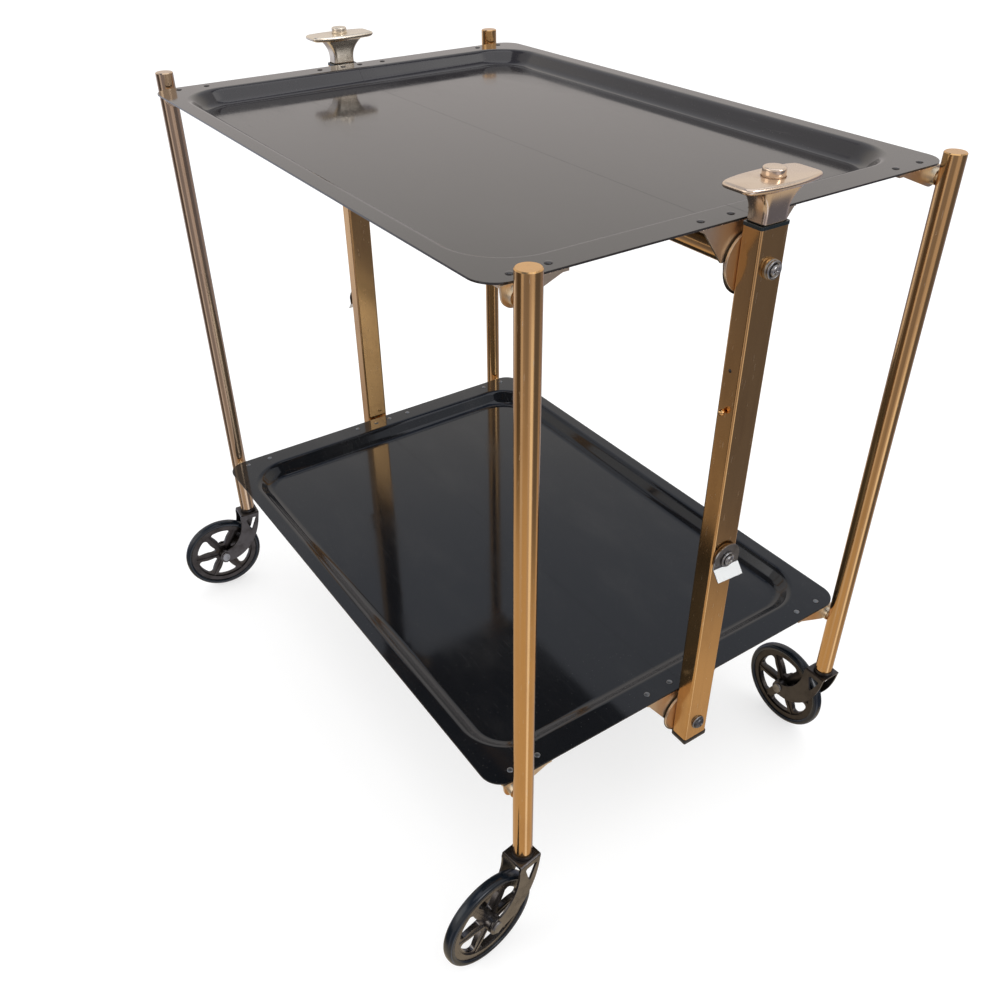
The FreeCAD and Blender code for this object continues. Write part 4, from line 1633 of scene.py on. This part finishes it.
    def ringed_screws(self, patterns: dict[str, Piece], names: tuple[str, str], x: float, z: float,
                      finish: Finish, size: float = 1.0) -> None:
        """A ring and a screw in it on each bar.

        Args:
            patterns: the patterns by name.
            names: the rings' and the screws' names.
            x: where the rings start.
            z: their height.
            finish: the screws' material.
            size: how much larger than the pattern the screws are.
        """
        steel = self.finishes.steel
        rings = self.row.lay(names[0], self.on_bars(x, z), patterns["washer"], steel)
        dress(rings, steel, "centre_frame")
        seat = self.on_bars(x + self.washer_height * self.seat_share, z)
        heads = self.row.lay(names[1], seat, patterns["screw"], finish, size)
        dress(heads, finish, "centre_frame")

    def pivots(self, patterns: dict[str, Piece]) -> None:
        """The collars, rings and screws at the bars' pivots.

        Args:
            patterns: the patterns by name.
        """
        places = frame_places()
        front, brass = places.bar_outer, self.finishes.collar
        upper, lower = places.pivot[Level.UPPER], places.pivot[Level.LOWER]
        collars = self.row.lay("pivot_collars", self.on_bars(front, upper), patterns["collar"], brass)
        dress(collars, brass, "centre_frame")
        self.ringed_screws(patterns, ("pivot_washers_upper", "pivot_screws_upper"),
                           front + self.collar_height, upper, self.finishes.steel)
        self.ringed_screws(patterns, ("pivot_washers_lower", "pivot_screws_lower"),
                           front, lower, self.finishes.dark_steel, self.lower_screw)

    def clasp_nuts(self, patterns: dict[str, Piece]) -> None:
        """The spacer, ring and screw that hold each clasp.

        Args:
            patterns: the patterns by name.
        """
        z = middle("clasp_pins").z
        r, h, edge = self.spacer_radius, self.spacer_height, self.spacer_edge
        spacers = bmesh.new()
        for start, axis in self.on_bars(frame_places().bar_outer, z):
            lathe_into(spacers, [(0.0, 0.0), (0.0, r), (h - edge, r), (h, r - edge), (h, 0.0)],
                       start, axis, self.spacer_faces)
        dress(mesh_piece("clasp_spacers", spacers), self.finishes.collar, "centre_frame")
        self.ringed_screws(patterns, ("clasp_rings", "clasp_screws"),
                           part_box("clasp_pins")[1].x + self.clasp_front, z, self.finishes.steel)

    def studs(self) -> None:
        """The ball-headed stud on each bar's side, and above it a thin black disc that stands for a small
        hole: painted shade, not a cut recess.
        """
        places = frame_places()
        ball, root = self.stud_radius, -self.stud_root
        neck = ball * self.stud_neck
        sweep = math.pi / 2 - self.stud_start
        angles = [self.stud_start + sweep * step / self.stud_steps for step in range(self.stud_steps + 1)]
        stud = [(root, 0.0), (root, neck), (ball / 2, neck)]
        stud += [(ball * (self.stud_middle + math.sin(a)), ball * math.cos(a)) for a in angles]
        # A thin black disc, a hair proud of the bar, stands for the small hole: painted shade.
        back, front, r = -self.hole_depth, self.hole_front, self.hole_radius
        hole = [(back, 0.0), (back, r), (front, r), (front, 0.0)]
        studs, hole_shade_discs = bmesh.new(), bmesh.new()
        for end in ENDS:
            x, y = end * (places.bar_middle - self.stud_inset), -end * places.bar_half_width
            axis = ACROSS * -end
            lathe_into(studs, stud, Vector((x, y, self.stud_height)), axis, self.stud_faces)
            lathe_into(hole_shade_discs, hole, Vector((x, y, self.hole_height)), axis, self.hole_faces)
        dress(mesh_piece("guide_studs", studs), self.finishes.bar, "centre_frame")
        dress(mesh_piece("stud_holes", hole_shade_discs), self.finishes.plastic, "centre_frame")

    def fit(self) -> None:
        """Builds and dresses every fastener."""
        patterns = self.patterns()
        self.rivets(patterns["rivet"])
        self.pivots(patterns)
        self.clasp_nuts(patterns)
        self.studs()
        for pattern in patterns.values():
            bpy.data.objects.remove(pattern)


@dataclass
class ButtonSprings:
    """The coil spring under each push button."""

    turns: float = 4.5
    wire: float = 0.0006

    def fit(self, finishes: Finishes) -> None:
        """Winds and dresses both springs.

        Args:
            finishes: the trolley's finishes.
        """
        tree = SpringTree()
        for end in End:
            node = f"button_spring_{end.value}"
            low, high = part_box(node)
            values = {"Turns": self.turns, "Wire": self.wire, "Finish": finishes.steel,
                      "Radius": (high.y - low.y) / 2 - self.wire,
                      "Height": high.z - low.z - 2 * self.wire,
                      "Foot": Vector(((low.x + high.x) / 2, 0.0, low.z + self.wire))}
            piece = tree.run(f"coil_{node}", bpy.data.meshes.new(f"{node}_seat"), values)
            dress(piece, finishes.steel, body_of(node), [node])


# ---------------------------------------------------------------- studio

@dataclass(frozen=True)
class RoomPatch:
    """A soft light or dark part of the room below eye level, by its heading from the trolley.

    The spread is half its width in degrees. Low and high are sines of its slopes' angles.
    """

    heading: float
    spread: float
    colour: Colour
    low: float = -1.2
    high: float = 0.2
    core: float = 0.45
    soft: float = 0.07


@dataclass(frozen=True)
class Lamp:
    """A large soft light: its place, its width and its power in watts."""

    name: str
    place: tuple[float, float, float]
    size: float
    power: float


@dataclass
class Studio:
    """The pale floor, the soft lights and the camera at the photograph's place."""

    camera_place: tuple[float, float, float] = (0.7634, -0.5181, 0.8817)
    azimuth: float = math.radians(56.335)
    elevation: float = math.radians(35.085)
    roll: float = math.radians(-0.619)
    focal_pixels: float = 973.11
    frame_height_pixels: float = 995.0
    sensor: float = 36.0
    nearest: float = 0.01
    lamps: tuple[Lamp, ...] = (Lamp("overhead", (0.3, 0.2, 2.6), 2.2, 16.0),
                               Lamp("left_window", (-0.6, -2.6, 1.7), 1.8, 10.0))
    lit_height: float = 0.4
    floor_half: float = 14.0
    floor_gap: float = 0.0003
    floor_glow: float = 0.6
    floor_tones: tuple[Colour, Colour] = ((0.44, 0.44, 0.44), (0.46, 0.46, 0.46))
    white_strength: float = 1.18
    floor_fade: Span = (-0.36, -0.68)
    horizon_fade: Span = (-0.06, 0.06)
    mid_fade: Span = (0.16, 0.42)
    top_fade: Span = (0.43, 0.66)
    ceiling_fade: Span = (0.78, 0.86)
    far_floor: Colour = (0.25, 0.25, 0.32)
    near_floor: Colour = (0.62, 0.52, 0.39)
    sky_low: Colour = (0.74, 0.69, 0.67)
    sky_mid: Colour = (0.88, 0.84, 0.80)
    sky_top: Colour = (0.60, 0.62, 0.68)
    ceiling: Colour = (0.10, 0.14, 0.25)
    window: RoomPatch = RoomPatch(16.0, 15.0, (6.0, 6.2, 6.6), low=0.28, high=0.56)
    patches: tuple[RoomPatch, ...] = (
        RoomPatch(-112.0, 26.0, (0.09, 0.08, 0.08), low=-0.58),
        RoomPatch(-82.0, 13.0, (0.62, 0.61, 0.68), low=-0.66),
        RoomPatch(-42.0, 16.0, (0.26, 0.25, 0.29), low=-0.50),
        RoomPatch(-4.0, 28.0, (0.52, 0.50, 0.56), low=-0.70),
        RoomPatch(2.0, 15.0, (1.05, 1.10, 1.25), high=-0.42),
        RoomPatch(42.0, 32.0, (0.135, 0.14, 0.18), low=-0.64),
        RoomPatch(105.0, 22.0, (0.36, 0.37, 0.45)),
        RoomPatch(-165.0, 18.0, (0.80, 0.84, 0.98), low=-0.45),
    )

    def camera(self) -> None:
        """Sets the camera where the photograph was taken from."""
        back = Vector((math.sin(self.azimuth) * math.cos(self.elevation),
                       -math.cos(self.azimuth) * math.cos(self.elevation), math.sin(self.elevation)))
        right = (-back).cross(UP).normalized()
        up = right.cross(-back)
        turned_right = right * math.cos(self.roll) + up * math.sin(self.roll)
        turned_up = up * math.cos(self.roll) - right * math.sin(self.roll)
        data = bpy.data.cameras.new("camera")
        data.sensor_width = self.sensor
        data.lens = self.focal_pixels / self.frame_height_pixels * self.sensor
        data.clip_start = self.nearest
        camera = linked("camera", data)
        turn = Matrix((turned_right, turned_up, back)).transposed()
        camera.matrix_world = Matrix.Translation(self.camera_place) @ turn.to_4x4()
        bpy.context.scene.camera = camera

    def floor(self) -> None:
        """Lays the plain pale floor."""
        shape = bmesh.new()
        half = self.floor_half
        corners = [(-half, -half), (half, -half), (half, half), (-half, half)]
        shape.faces.new([shape.verts.new((x, y, -self.floor_gap)) for x, y in corners])
        floor = mesh_piece("floor", shape)
        bench = Bench("pale_floor")
        pattern = bench.cloud(bench.place(), 3.0, 2.0)
        bench.surface(Base_Color=bench.blend(pattern, *self.floor_tones),
                      Roughness=0.9, Specular_IOR_Level=0.0,
                      Emission_Color=(1.0, 1.0, 1.0), Emission_Strength=self.floor_glow)
        floor.data.materials.append(bench.owner)
        floor.visible_glossy = False

    def lights(self) -> None:
        """A large soft light overhead and a softer one from the left."""
        for lamp in self.lamps:
            data = bpy.data.lights.new(lamp.name, "AREA")
            data.shape = "SQUARE"
            data.size = lamp.size
            data.energy = lamp.power
            aim = UP * self.lit_height - Vector(lamp.place)
            turn = aim.to_track_quat("-Z", "Y").to_matrix().to_4x4()
            linked(lamp.name, data).matrix_world = Matrix.Translation(lamp.place) @ turn

    def share_of(self, bench: Bench, level: Signal, rise: Signal, patch: RoomPatch) -> Signal:
        """How much of a direction a part of the room covers.

        Args:
            bench: the room's tree.
            level: the direction's level part, one unit long.
            rise: the sine of the direction's slope.
            patch: the part of the room.

        Returns:
            1 inside the part and 0 outside it.
        """
        heading, spread = math.radians(patch.heading), math.radians(patch.spread)
        dot = bench.node("ShaderNodeVectorMath", {"operation": "DOT_PRODUCT"},
                         {0: level, 1: (math.cos(heading), math.sin(heading), 0.0)})
        share = bench.out(dot, "Value").between(math.cos(spread), math.cos(spread * patch.core))
        share = share * rise.between(patch.low - patch.soft, patch.low + patch.soft)
        return share * rise.between(patch.high + patch.soft, patch.high - patch.soft)

    def world(self) -> None:
        """An even white light all round, which polished surfaces see as a soft room."""
        room = bpy.data.worlds.new("pale_room")
        bpy.context.scene.world = room
        bench = Bench("pale_room", room)
        way = bench.out(bench.node("ShaderNodeTexCoord", {}, {}), "Generated")
        rise = bench.out(bench.node("ShaderNodeSeparateXYZ", {}, {"Vector": way}), 2)
        level = bench.out(bench.node("ShaderNodeVectorMath", {"operation": "MULTIPLY"},
                                     {0: way, 1: (1.0, 1.0, 0.0)}))
        level = bench.out(bench.node("ShaderNodeVectorMath", {"operation": "NORMALIZE"}, {0: level}))
        colour = bench.blend(rise.between(*self.floor_fade), self.far_floor, self.near_floor)
        for patch in self.patches:
            colour = bench.blend(self.share_of(bench, level, rise, patch), colour, patch.colour)
        sky = bench.blend(rise.between(*self.mid_fade), self.sky_low, self.sky_mid)
        sky = bench.blend(rise.between(*self.top_fade), sky, self.sky_top)
        sky = bench.blend(rise.between(*self.ceiling_fade), sky, self.ceiling)
        sky = bench.blend(self.share_of(bench, level, rise, self.window), sky, self.window.colour)
        colour = bench.blend(rise.between(*self.horizon_fade), colour, sky)
        seen = bench.node("ShaderNodeBackground", {}, {"Color": colour, "Strength": 1.0})
        plain = {"Color": (1.0, 1.0, 1.0, 1.0), "Strength": self.white_strength}
        white = bench.node("ShaderNodeBackground", {}, plain)
        glossy = bench.out(bench.node("ShaderNodeLightPath", {}, {}), "Is Glossy Ray")
        mixed = bench.node("ShaderNodeMixShader", {}, {0: glossy, 1: bench.out(white), 2: bench.out(seen)})
        bench.node("ShaderNodeOutputWorld", {}, {"Surface": bench.out(mixed)})

    def fit(self) -> None:
        """Sets up the whole studio."""
        bpy.context.scene.view_settings.view_transform = "Standard"
        self.camera()
        self.floor()
        self.lights()
        self.world()


def main() -> None:
    """Builds the trolley's looks piece by piece, and then the studio."""
    logging.basicConfig(level=logging.INFO, format="%(name)s: %(message)s")
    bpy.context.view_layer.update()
    finishes = Finishes()
    for level in Level:
        for side in Side:
            TrayHalf(level, side).fit(finishes)
    Metalwork().fit(finishes)
    for end in End:
        Handle(end).fit(finishes, ["handles"])
    for end in End:
        for side in Side:
            LegAndCaster(f"{end.value}_{side.value}").fit(finishes)
    Fasteners(finishes).fit()
    ButtonSprings().fit(finishes)
    Studio().fit()


if __name__ == "__main__":
    main()
